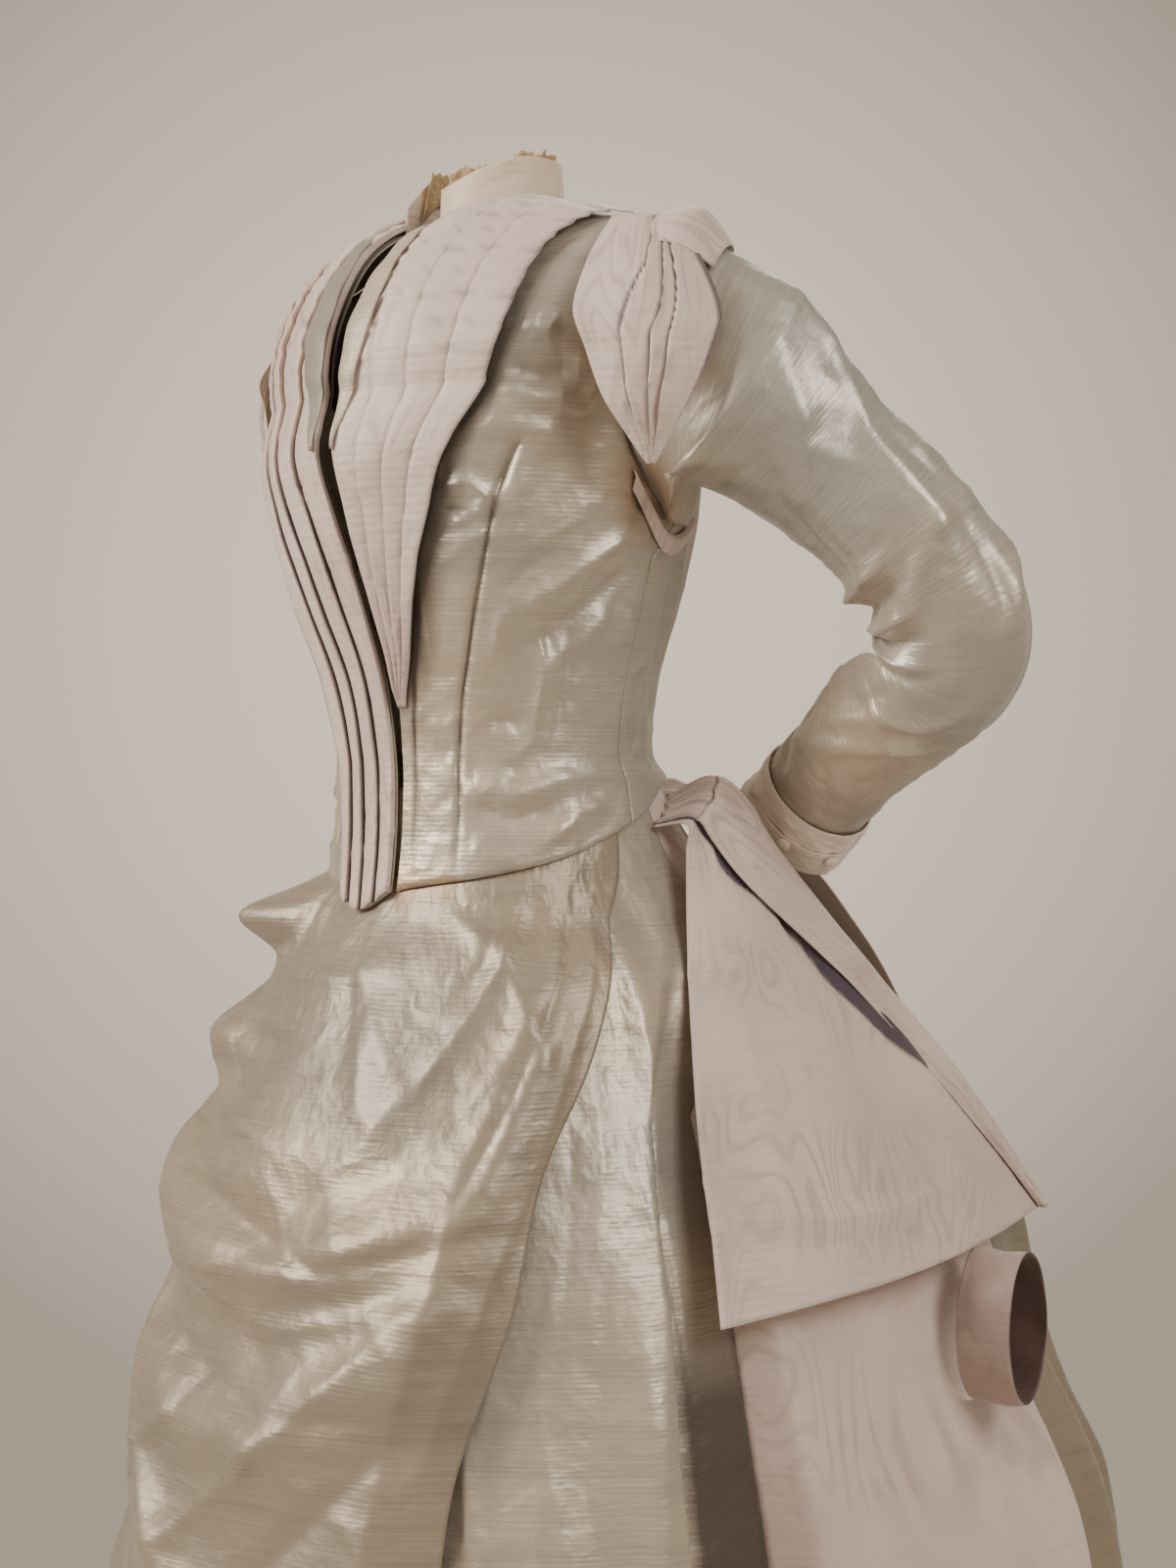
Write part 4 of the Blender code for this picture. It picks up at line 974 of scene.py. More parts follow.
    def side(self) -> ClothPiece:
        """Left side back."""
        row, share = rows_and_shares(YOKE_ROW, 0, self.rows, self.side_columns)
        start = self.seam_at("arm_back", row) + self.seam
        end = self.seam_at("back_seam", row) - self.seam
        angle = start + (end - start) * share
        points = bodice_point(row, angle)
        uv = flat_uv(np.radians(angle) * BODY_RADIUS, points[..., 2])
        piece = ClothPiece("bodice_side_left", points, uv, Held.STRETCHED, "silver")
        fade = np.clip(np.minimum(share, 1 - share) / 0.15, 0, 1) * np.clip(row / 0.5, 0, 1)
        height = relief_of((
            Fold((at_body(110, 0.130), at_body(114, 0.06), at_body(118, 0.0)), 0.0018, 0.005),
            Fold((at_body(124, 0.030), at_body(118, 0.010), at_body(110, -0.004)), 0.0016, 0.004),
            Crumple(36, 31, 0.0012, 0.05, 0.0045, 70.0, 50.0),
        ), uv[..., 0], uv[..., 1])
        return piece.raised(height * fade)

    def back(self) -> ClothPiece:
        """Left back."""
        row, share = rows_and_shares(RIDGE_ROW, 0, self.rows, self.back_columns)
        start = self.seam_at("back_seam", row) + self.seam
        end = 180.0 - self.seam
        angle = start + (end - start) * (1 - warped(1 - share, row))
        points = bodice_point(row, angle)
        uv = flat_uv(np.radians(angle) * BODY_RADIUS, points[..., 2])
        piece = ClothPiece("bodice_back_left", points, uv, Held.STRETCHED, "silver")
        fade = np.clip(np.minimum(share, 1 - share) / 0.08, 0, 1) * np.clip(row / 0.5, 0, 1)
        fade = fade * np.clip((RIDGE_ROW - row) / 1.0, 0, 1)
        seams = tuple(
            Fold(tuple(at_body(a, z) for a, z in path), -0.0014, 0.0016, 1.2)
            for path in (((140, 0.24), (150, 0.12), (158, 0.0), (158, -0.012)),))
        height = relief_of(seams + (
            Crumple(60, 41, 0.0012, 0.06, 0.005, 10.0, 60.0),
        ), uv[..., 0], uv[..., 1])
        return piece.raised(height * fade)

    def build(self, silver: bpy.types.Material) -> None:
        """Build all six pieces."""
        for side in ("left", "right"):
            self.front(side).build(silver)
        pair(self.side(), silver)
        pair(self.back(), silver)


# One knife pleat, from its folded edge next to the opening outwards: share across,
# share of the crest, and how much painted shade darkens the gap.
PLEAT = Table("step across rise gap", (
    (0, 0.000, 0.08, 1.0), (1, -0.030, 0.30, 1.0), (2, -0.055, 0.72, 0.5), (3, -0.045, 0.98, 0.0),
    (4, 0.020, 1.06, 0.0), (5, 0.250, 0.98, 0.0), (6, 0.500, 0.78, 0.0), (7, 0.740, 0.52, 0.0),
    (8, 0.880, 0.26, 0.1), (9, 0.930, 0.10, 1.0), (10, 0.985, 0.06, 1.0),
))


@dataclass
class Revers:
    """Pleated revers on both fronts, with the grey turn-backs beside the opening."""

    rows: int = 130
    pleats: int = 4
    overlay: float = 0.0004
    shoulder_room: float = 0.0016
    cloth: float = 0.0012
    crests: tuple[float, float] = (0.0034, 0.0042)

    def base(self, row: Grid) -> Grid:
        """Room between a revers and the front under it."""
        return self.overlay + self.shoulder_room * np.clip((row - YOKE_ROW) * 4, 0, 1)

    def revers(self, side: str, first_row: int, crest: float) -> ClothPiece:
        """One pleated revers.

        Args:
            side: left or right.
            first_row: Row of the cut where its tip lies.
            crest: Height of the pleats.

        Returns:
            The revers.
        """
        steps = len(PLEAT.rows)
        across, rise, gap = [], [], []
        for pleat in range(self.pleats):
            for index in range(steps):
                _, a, r, g = PLEAT.rows[index]
                across.append((pleat + (a if pleat else max(a, 0.0))) / self.pleats)
                rise.append(r)
                gap.append(g if pleat or index > 4 else 0.0)
        row, lie = np.meshgrid(np.linspace(RIDGE_ROW, first_row, self.rows), np.array(across),
                               indexing="ij")
        edge = CUT.at(side + "_edge", "row", row)
        outer = CUT.at(side + "_revers", "row", row)
        tip = np.clip((row - first_row) / 0.35, 0.0, 1.0) if side == "left" else 1.0
        angle = edge + (outer - edge) * warped(lie, row)
        wave = 1 + 0.12 * np.sin(row * 2.1 + lie * 9.0)
        lift = self.base(row) + self.cloth + crest * np.array(rise) * wave * tip
        tuck = (row * 2.6 + 0.12 * np.sin(lie * 15.0)) % 1.0
        high = np.clip((row - 10.0) / 0.6, 0, 1) * np.clip((13.9 - row) * 3, 0, 1)
        high = high * np.clip((lie - 0.02) * 20, 0, 1)
        lift += 0.0022 * (1 - tuck) * high
        stand = np.clip((lie - 0.72) / 0.28, 0, 1) ** 1.5 * np.clip((row - first_row) / 3, 0, 1)
        lift += 0.0055 * stand * np.clip((13.5 - row) / 1.5, 0, 1)
        points = bodice_point(row, angle, lift)
        # Painted shade: dark pleat gaps, opened out in the middle of the right revers and an even
        # lighter share on the left, and dark lines at the edges of the crosswise tucks.
        opened = np.clip((row + 1.5) / 2.0, 0, 1) * np.clip((10.5 - row) / 3.5, 0.0, 1)
        opened = opened if side == "right" else np.full(row.shape, 0.42)
        shade = np.clip(np.array(gap) * opened + 0.30 * high * (tuck > 0.93), 0, 0.9)
        uv = flat_uv(lie * 0.11, points[..., 2])
        piece = ClothPiece("revers_" + side, points, uv, Held.FOLDED, "lilac", shade,
                           thickness=0.0007)
        height = Crumple(60, 51 if side == "left" else 52, 0.0008, 0.03, 0.003, 0.0, 25.0)
        piece.creased(height)
        return piece.mirrored(piece.name) if side == "right" else piece

    def facing(self, side: str, crest: float) -> ClothPiece:
        """One narrow turn-back on the first pleat of its revers.

        Args:
            side: left or right.
            crest: Height of the pleats under it.

        Returns:
            The turn-back.
        """
        row, share = rows_and_shares(RIDGE_ROW - 1, YOKE_ROW - 1, 60, 14)
        edge = CUT.at(side + "_edge", "row", row)
        outer = CUT.at(side + "_revers", "row", row)
        narrow = np.clip((row - 8.7) / 2.2, 0.15, 1)
        angle = edge + (outer - edge) * warped(share * narrow / 5, row)
        roll = 0.0012 * np.sin(math.pi * share) + 0.0006 * np.sin(row * 7)
        lift = self.base(row) + 2 * self.cloth + self.overlay + crest * 1.06 + roll
        points = bodice_point(row, angle, lift)
        uv = flat_uv(share * 0.03, points[..., 2])
        piece = ClothPiece("lapel_facing_" + side, points, uv, Held.FOLDED, "olive",
                           thickness=0.0008)
        return piece.mirrored(piece.name) if side == "right" else piece

    def build(self, lilac: bpy.types.Material, turned: dict[str, bpy.types.Material]) -> None:
        """Build both revers, and both turn-backs in the finish given for each side."""
        for side, first_row, crest in zip(("left", "right"), (3, 0), self.crests):
            self.revers(side, first_row, crest).build(lilac)
            self.facing(side, crest).build(turned[side])


@dataclass
class Neck:
    """Stand collar, open in front, with the lace frill inside it."""

    radius: float = 0.0485
    height: float = 0.034
    lean: float = 0.0015
    room: float = 0.0012
    start: float = -2.0
    end: float = 326.0
    fall_start: float = 300.0
    fall_span: float = 26.0
    fall_out: float = 0.016
    fall_up: float = -0.012
    droop: float = 0.15
    waves: int = 14
    lace_height: float = 0.034
    lace_foot: float = 0.016

    def point(self, angle: Grid, radius: Grid, height: Grid) -> Grid:
        """Points round the neck at a height over its edge.

        Args:
            angle: Angles round the neck.
            radius: Distances from the neck's middle.
            height: Heights over the neck edge.

        Returns:
            A grid of points.
        """
        turn = np.radians(angle)
        front = np.cos(turn) > 0
        x = NECK_RADIUS * np.abs(np.sin(turn))
        reach = np.where(front, 0.137, 0.127) + RIDGE_Y
        rise = np.sin(np.arccos(np.clip(np.sqrt(np.maximum(NECK_RADIUS ** 2 - x * x, 0)) / reach,
                                        0, 1)))
        level = YOKE_LEVEL + (ridge_level(x, front) - YOKE_LEVEL) * rise
        return np.stack([radius * np.sin(turn), RIDGE_Y - radius * np.cos(turn), level + height],
                        -1)

    def collar(self) -> ClothPiece:
        """The stand collar."""
        height, share = rows_and_shares(1, 0, 18, 170)
        angle = self.start + (self.end - self.start) * share
        fall = np.maximum(0, (angle - self.fall_start) / self.fall_span) ** 2
        radius = self.radius - self.lean * height + self.fall_out * fall
        stand = self.height * height * (1 - self.droop * fall)
        points = self.point(angle, radius, self.room + stand + self.fall_up * fall)
        uv = flat_uv(np.radians(angle) * self.radius, points[..., 2])
        piece = ClothPiece("collar", points, uv, Held.FOLDED, "beige_lilac", thickness=0.0012)
        return piece.creased(Crumple(26, 61, 0.0007, 0.03, 0.004, 60.0, 60.0))

    def lace(self) -> ClothPiece:
        """The frill, with a scalloped edge."""
        height, share = rows_and_shares(1, 0, 14, self.waves * 16 + 1)
        angle = 2.0 + 320.0 * share
        fall = np.maximum(0, (angle - self.fall_start) / self.fall_span) ** 2
        swing = 0.0040 * (0.15 + 0.85 * height)
        wave = np.sin(math.tau * self.waves * share + 1.6 * np.sin(17 * share))
        wave = wave * (0.75 + 0.25 * np.sin(31 * share + 2 * height))
        radius = self.radius - 0.0058 - self.lean * height + swing * wave
        radius = radius + self.fall_out * 0.8 * fall
        scallop = (0.0024 * np.abs(np.sin(math.tau * self.waves * 1.5 * share))
                   + 0.0022 * np.sin(23 * share + 1.0)) * height
        lumps = 0.5 + 0.3 * np.sin(share * 19.0 + 0.4) + 0.2 * np.sin(share * 43.0)
        behind = np.exp(-((angle - 205.0) / 36.0) ** 2) + np.exp(-((angle - 318.0) / 16.0) ** 2)
        rise = 0.30 + 0.70 * np.clip(lumps * 0.7 + behind * 0.55, 0, 1.05)
        tall = self.lace_foot + self.lace_height * height * rise + scallop
        points = self.point(angle, radius, tall + self.fall_up * fall)
        uv = flat_uv(share * 0.4, points[..., 2])
        return ClothPiece("neck_lace", points, uv, Held.GATHERED, "ecru", thickness=0.0006)

    def build(self, beige: bpy.types.Material, lace: bpy.types.Material) -> None:
        """Build the collar and the frill."""
        self.collar().build(beige)
        self.lace().build(lace)


@dataclass
class Sleeves:
    """Bent two-piece sleeves, their turned-back cuffs with tabs, and the trims at the armhole."""

    columns: int = 80
    rows: int = 130
    crease: float = 1.6
    lift: float = 0.0038
    spread: float = 0.0012
    cuff_length: float = 0.046
    cuff_overlap: float = 0.012
    cloth: float = 0.0012
    flare: float = 0.0030
    button_radius: float = 0.0055

    def armhole(self) -> Grid:
        """The sixteen points round the left armhole, from the ridge forwards."""
        place: list[tuple[float, float]] = []
        rows = CUT.column("row")
        front, back = CUT.column("front_seam"), CUT.column("arm_back")
        for index in range(RIDGE_ROW, ARMPIT_ROW, -1):
            place.append((rows[index], front[index]))
        place += [(float(ARMPIT_ROW), angle) for angle in ARMPIT_ANGLES]
        for index in range(ARMPIT_ROW + 1, RIDGE_ROW):
            place.append((rows[index], back[index]))
        row, angle = np.array(place).T
        ring = bodice_point(row, angle, self.lift)
        away = ring - ring.mean(axis=0)
        away[:, 0] = 0
        return ring + unit(away) * self.spread

    def frame(self, at: Grid) -> tuple[Grid, Grid, Grid, Grid]:
        """Middle, axis, outward and towards-front directions of sections of the left sleeve.

        Args:
            at: Section numbers, between the tabled ones too.

        Returns:
            Four stacks of vectors.
        """
        keys = np.arange(len(SLEEVE.rows), dtype=float)
        middles = np.stack([SLEEVE.column(name) for name in ("x", "y", "z")], -1)
        outs = np.stack([SLEEVE.column(name) for name in ("out_x", "out_y", "out_z")], -1)
        middle = along(keys, middles, at)
        axis = unit(along(keys, middles, at + 0.5) - along(keys, middles, at - 0.5))
        out = along(keys, outs, at)
        out = unit(out - axis * (out * axis).sum(-1, keepdims=True))
        return middle, axis, out, np.cross(axis, out)

    def rings(self, at: Grid, extra: Grid | float, slide: Grid | float = 0.0) -> Grid:
        """Sections of the left sleeve.

        Args:
            at: Section numbers.
            extra: How much wider each ring is.
            slide: How far each ring is moved along the sleeve.

        Returns:
            A grid of points, columns towards the wearer's left.
        """
        keys = np.arange(len(SLEEVE.rows), dtype=float)
        middle, axis, out, front = (part[:, None] for part in self.frame(at))
        turn = (math.tau * np.arange(self.columns) / self.columns)[None, :, None]
        wide = (along(keys, SLEEVE.column("radius_out"), at) + extra)[:, None, None]
        deep = (along(keys, SLEEVE.column("radius_side"), at) + extra)[:, None, None]
        slid = np.broadcast_to(np.asarray(slide, float), at.shape)[:, None, None]
        ring = middle + axis * slid + out * wide * np.cos(turn) + front * deep * np.sin(turn)
        return ring[:, ::-1]

    def sleeve(self) -> ClothPiece:
        """The left sleeve."""
        head = self.armhole()
        steps = np.arange(self.columns) * len(head) / self.columns
        wrapped = np.concatenate([head, head[:1]])
        top = np.stack([np.interp(steps, np.arange(len(wrapped)), wrapped[:, axis])
                        for axis in range(3)], -1)[::-1]
        at = np.linspace(0, len(SLEEVE.rows) - 1, self.rows)
        body = self.rings(at, 0.0)
        first = max(4, self.rows // 14)
        joined = np.concatenate([
            top[None] + (body[:1] - top[None]) * share
            for share in np.linspace(0, 1, first, endpoint=False)])
        points = np.concatenate([joined, body])
        lengths = np.linalg.norm(np.diff(points.mean(axis=1), axis=0), axis=-1)
        run = np.concatenate([[0.0], np.cumsum(lengths)])
        turn = math.tau * np.arange(self.columns)[::-1] / self.columns
        v, u = np.meshgrid(-run, turn * 0.05, indexing="ij")
        piece = ClothPiece("sleeve_left", points, flat_uv(u, v), Held.HUNG, "silver",
                           closed=True)
        fade = np.clip((run + 0.0) / 0.02, 0, 1) * np.clip((run[-1] - run) / 0.03, 0, 1)
        height = self.crease * relief_of(self.folds(run[-1]), u, v)
        return piece.raised(height * fade[:, None])

    def folds(self, long: float) -> tuple[Fold | Crumple, ...]:
        """Long diagonals of the upper arm, gathers inside the elbow and forearm creases."""
        elbow = -long * 0.52
        hand = []
        for u, v, u2, v2, height, width in (
                (0.02, -0.04, 0.07, -0.25, 0.0035, 0.008), (0.05, -0.03, 0.13, -0.22, 0.0030, 0.009),
                (0.10, -0.06, 0.16, -0.27, -0.0030, 0.008), (0.27, -0.05, 0.20, -0.26, 0.0030, 0.008),
                (0.30, -0.10, 0.27, -0.30, 0.0026, 0.007), (0.23, -0.03, 0.17, -0.15, 0.0026, 0.008),
                (0.03, -0.12, 0.05, -0.32, -0.0024, 0.007)):
            hand.append(Fold(((u, v), ((u + u2) / 2 + 0.006, (v + v2) / 2), (u2, v2)),
                             height, width))
        for step, drop in enumerate((-0.045, -0.022, -0.004, 0.016, 0.036)):
            height = 0.0042 if step % 2 == 0 else -0.0038
            middle = elbow + drop
            hand.append(Fold(((0.10, middle + 0.012), (0.157, middle), (0.215, middle + 0.012)),
                             height, 0.0065))
        for u, v, u2, v2, height in (
                (0.00, 0.02, 0.06, -0.03, 0.0032), (0.31, 0.02, 0.26, -0.03, 0.0030),
                (0.05, 0.05, 0.12, 0.01, 0.0026), (0.26, 0.06, 0.20, 0.01, 0.0026)):
            hand.append(Fold(((u, elbow + v), (u2, elbow + v2)), height, 0.008))
        for u, v, u2, v2, height in (
                (0.05, -0.04, 0.12, -0.15, 0.0028), (0.13, -0.05, 0.17, -0.18, 0.0030),
                (0.20, -0.06, 0.26, -0.16, -0.0026), (0.28, -0.05, 0.30, -0.17, 0.0026),
                (0.02, -0.06, 0.14, -0.20, 0.0034), (0.09, -0.03, 0.22, -0.14, -0.0034),
                (0.16, -0.02, 0.30, -0.12, 0.0032), (0.24, -0.12, 0.10, -0.22, -0.0028)):
            hand.append(Fold(((u, elbow + v), (u2, elbow + v2)), height, 0.008))
        return tuple(hand) + (
            Crumple(110, 71, 0.0014, 0.07, 0.0055, 75.0, 35.0),
            Crumple(50, 72, 0.0014, 0.05, 0.006, 20.0, 40.0),
            Crumple(110, 75, 0.0008, 0.04, 0.0026, 45.0, 50.0),
        )

    def cuff_lift(self, share: Grid) -> Grid:
        """How far a cuff's outside stands off the sleeve."""
        step = 0.0014 * np.maximum(0, 1 - share * self.cuff_length / self.cuff_overlap)
        return 0.0008 + self.cloth + step + self.flare * share

    def cuff(self) -> ClothPiece:
        """The left cuff."""
        share = np.linspace(0, 1, 40)
        last = np.full(share.shape, len(SLEEVE.rows) - 1.0)
        slide = -self.cuff_overlap + self.cuff_length * share
        points = self.rings(last, self.cuff_lift(share), slide)
        turn = math.tau * np.arange(self.columns)[::-1] / self.columns
        v, u = np.meshgrid(-slide, turn * 0.04, indexing="ij")
        piece = ClothPiece("cuff_left", points, flat_uv(u, v), Held.FOLDED, "beige_lilac",
                           closed=True, thickness=0.0011)
        height = relief_of((
            Fold(((0.0, -0.028), (0.13, -0.026), (0.25, -0.029)), 0.0012, 0.0016),
            Crumple(46, 73, 0.0022, 0.045, 0.0034, 35.0, 25.0),
            Crumple(24, 74, 0.0018, 0.05, 0.0030, 150.0, 20.0)), u, v)
        inner = np.clip((slide + self.cuff_overlap) / 0.012, 0.2, 1)
        return piece.raised(np.maximum(height, -0.0004) * inner[:, None])

    def tab(self) -> tuple[ClothPiece, list[tuple[Grid, Grid]]]:
        """The cuff's overlapping tab, and the places and directions of its two buttons."""
        down = np.linspace(0.45, 0.95, 16)
        last = np.full(down.shape, len(SLEEVE.rows) - 1.0)
        extra = self.cuff_lift(down) + 0.0004 + self.cloth + 0.0010
        ring = self.rings(last, extra, -self.cuff_overlap + self.cuff_length * down)
        first = self.columns - 1 - self.columns * 5 // 16
        stop = self.columns - self.columns // 16
        points = ring[:, first:stop]
        v, u = np.meshgrid(-down * self.cuff_length, np.arange(stop - first) * 0.0026,
                           indexing="ij")
        piece = ClothPiece("cuff_tab_left", points, flat_uv(u, v), Held.FOLDED, "beige_lilac",
                           thickness=0.0009)
        normals = piece.normals()
        columns = (points.shape[1] * 7 // 8, points.shape[1] * 3 // 8)
        return piece, [(points[4, column], normals[4, column]) for column in columns]

    def button(self, name: str, place: Grid, facing: Grid,
               material: bpy.types.Material) -> None:
        """A covered button: a dome with a gathered rim.

        Args:
            name: The button's node.
            place: Middle of its underside.
            facing: Its outward direction.
            material: Its finish.
        """
        profile = ((0.0, 1.0), (0.45, 0.93), (0.8, 0.70), (0.97, 0.42), (1.0, 0.25), (0.94, 0.05))
        side = unit(np.cross(facing, np.array([0.0, 0.0, 1.0])))
        other = np.cross(facing, side)
        turn = math.tau * np.arange(24) / 24
        rows = []
        for wide, tall in profile:
            pucker = 1 + 0.02 * np.cos(12 * turn) * wide
            circle = (side * np.cos(turn)[:, None] + other * np.sin(turn)[:, None])
            rows.append(place + circle * (self.button_radius * max(wide, 0.02) * pucker)[:, None]
                        + facing * (0.0004 + 0.003 * tall))
        points = np.array(rows)
        u, v = np.meshgrid(turn * 0.005, np.linspace(0, 0.01, len(rows)))
        piece = ClothPiece(name, points, flat_uv(u, v), Held.STRETCHED, "button", closed=True)
        mesh = piece.mesh()
        mesh.materials.append(material)
        made = bpy.data.objects.new(name + "_covered", mesh)
        bpy.context.scene.collection.objects.link(made)
        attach(made, "root")
        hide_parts(name)

    def strips(self) -> tuple[ClothPiece, ClothPiece]:
        """The folded shoulder cap and the band under the armhole, both left."""
        head = self.armhole()
        ring = self.rings(np.array([0.0]), 0.0)[0][::-1]
        ring = ring[:: self.columns // len(head)]
        strip = Table("share place rise", ((0.0, 0.06, 0.0), (0.33, 0.20, 0.007),
                                           (0.66, 0.34, 0.005), (1.0, 0.50, 0.0)))
        row, share = rows_and_shares(0, 1, 24, 60)
        at = 17.6 - 4.6 * share
        keys = np.arange(20, dtype=float)
        head, ring = (np.concatenate([part, part[:4]]) for part in (head, ring))
        near, far = along(keys, head, at), along(keys, ring, at)
        place = strip.at("place", "share", row)[..., None]
        points = near + (far - near) * place
        cap = ClothPiece("shoulder_cap_left", points, flat_uv(share * 0.12, -row * 0.03),
                         Held.FOLDED, "lilac")
        front = np.clip((at - 15.0) / 1.2, 0, 1)
        cap.raised(0.0040 + strip.at("rise", "share", row) + 0.001 * np.sin(share * 9)
                   + front * 0.006 * np.sin(math.pi * np.clip(row * 0.9 + 0.1, 0, 1)))
        row, share = rows_and_shares(0, 1, 24, 90)
        band = Table("share place rise", ((0.0, 0.0, 0.0), (0.25, -0.004, 0.0028),
                                          (0.6, -0.009, 0.0016), (1.0, -0.014, 0.0)))
        angle = 92 + 30 * share
        top = ARMHOLE_BAND.at("top", "angle", angle)
        points = outline(TORSO, angle, top + band.at("place", "share", row),
                         0.0016 + band.at("rise", "share", row))
        armband = ClothPiece("armhole_band_left", points, flat_uv(share * 0.085, -row * 0.02),
                             Held.FOLDED, "lilac")
        return cap, armband

    def build(self, silver: bpy.types.Material, lilac: bpy.types.Material,
              beige: bpy.types.Material) -> None:
        """Build both sleeves and all that is sewn to them.

        Args:
            silver: Finish of the sleeves.
            lilac: Finish of the trims at the armhole.
            beige: Finish of the cuffs, tabs and buttons, a brighter beige faille that paints light on
                them.
        """
        pair(self.sleeve(), silver)
        pair(self.cuff(), beige)
        tab, places = self.tab()
        pair(tab, beige)
        for number, (place, facing) in enumerate(places):
            for side, flip in (("left", 1.0), ("right", -1.0)):
                turn = np.array([flip, 1.0, 1.0])
                self.button("button_%s_%d" % (side, number + 1), place * turn, facing * turn,
                            beige)
        for strip in self.strips():
            pair(strip, lilac)


@dataclass
class Epaulettes:
    """Petals of fanned pleats over the armholes."""

    rows: int = 60
    columns: int = 81
    edges: tuple[float, ...] = (0.0, 0.30, 0.52, 0.66, 1.0)
    crest: float = 0.0056

    def petal(self) -> ClothPiece:
        """The left petal."""
        place, share = rows_and_shares(0, 6, self.rows, self.columns)

        def at(name: str) -> Grid:
            """A column of the table at the rows."""
            return EPAULETTE.at(name, "place", place)

        front = np.stack([at("front_x"), at("front_y"), at("level")], -1)
        back = np.stack([at("back_x"), at("back_y"), at("level")], -1)
        across = back - front
        size = np.linalg.norm(across, axis=-1)
        out = -unit(np.stack([-across[..., 1], across[..., 0], 0 * size], -1))
        spread = np.clip(place / 2.6, 0, 1) ** 0.8
        fan = share * spread + np.clip((share - 0.50) / 0.42, 0, 1) * (1 - spread)
        count = np.interp(fan, self.edges, np.arange(len(self.edges)))
        phase = np.minimum(count, len(self.edges) - 1.001) % 1.0
        saw = np.where(phase < 0.90, 1 - 0.80 * phase / 0.90, 0.20 * (1 - phase) / 0.10)
        fold = self.crest * saw * np.clip(size / 0.04, 0, 1) * np.clip((6.2 - place) / 2, 0.2, 1)
        bulge = at("bulge") * np.sin(math.pi * share) + fold
        points = front + across * share[..., None] + out * bulge[..., None]
        corner = np.exp(-((place - 2.3) / 0.5) ** 2 - (share / 0.10) ** 2)
        points = points + out * (0.007 * corner)[..., None]
        # Painted shade in the gaps between the pleats.
        shade = 0.85 * np.clip((phase - 0.90) / 0.05, 0, 1) * np.clip((5.2 - place) / 2, 0, 1)
        piece = ClothPiece("epaulette_left", points, flat_uv(share * 0.09, -place * 0.028),
                           Held.FOLDED, "lilac", shade)
        return piece.creased(Crumple(30, 81, 0.0011, 0.04, 0.0035, 50.0, 30.0))

    def build(self, lilac: bpy.types.Material) -> None:
        """Build both petals."""
        pair(self.petal(), lilac)


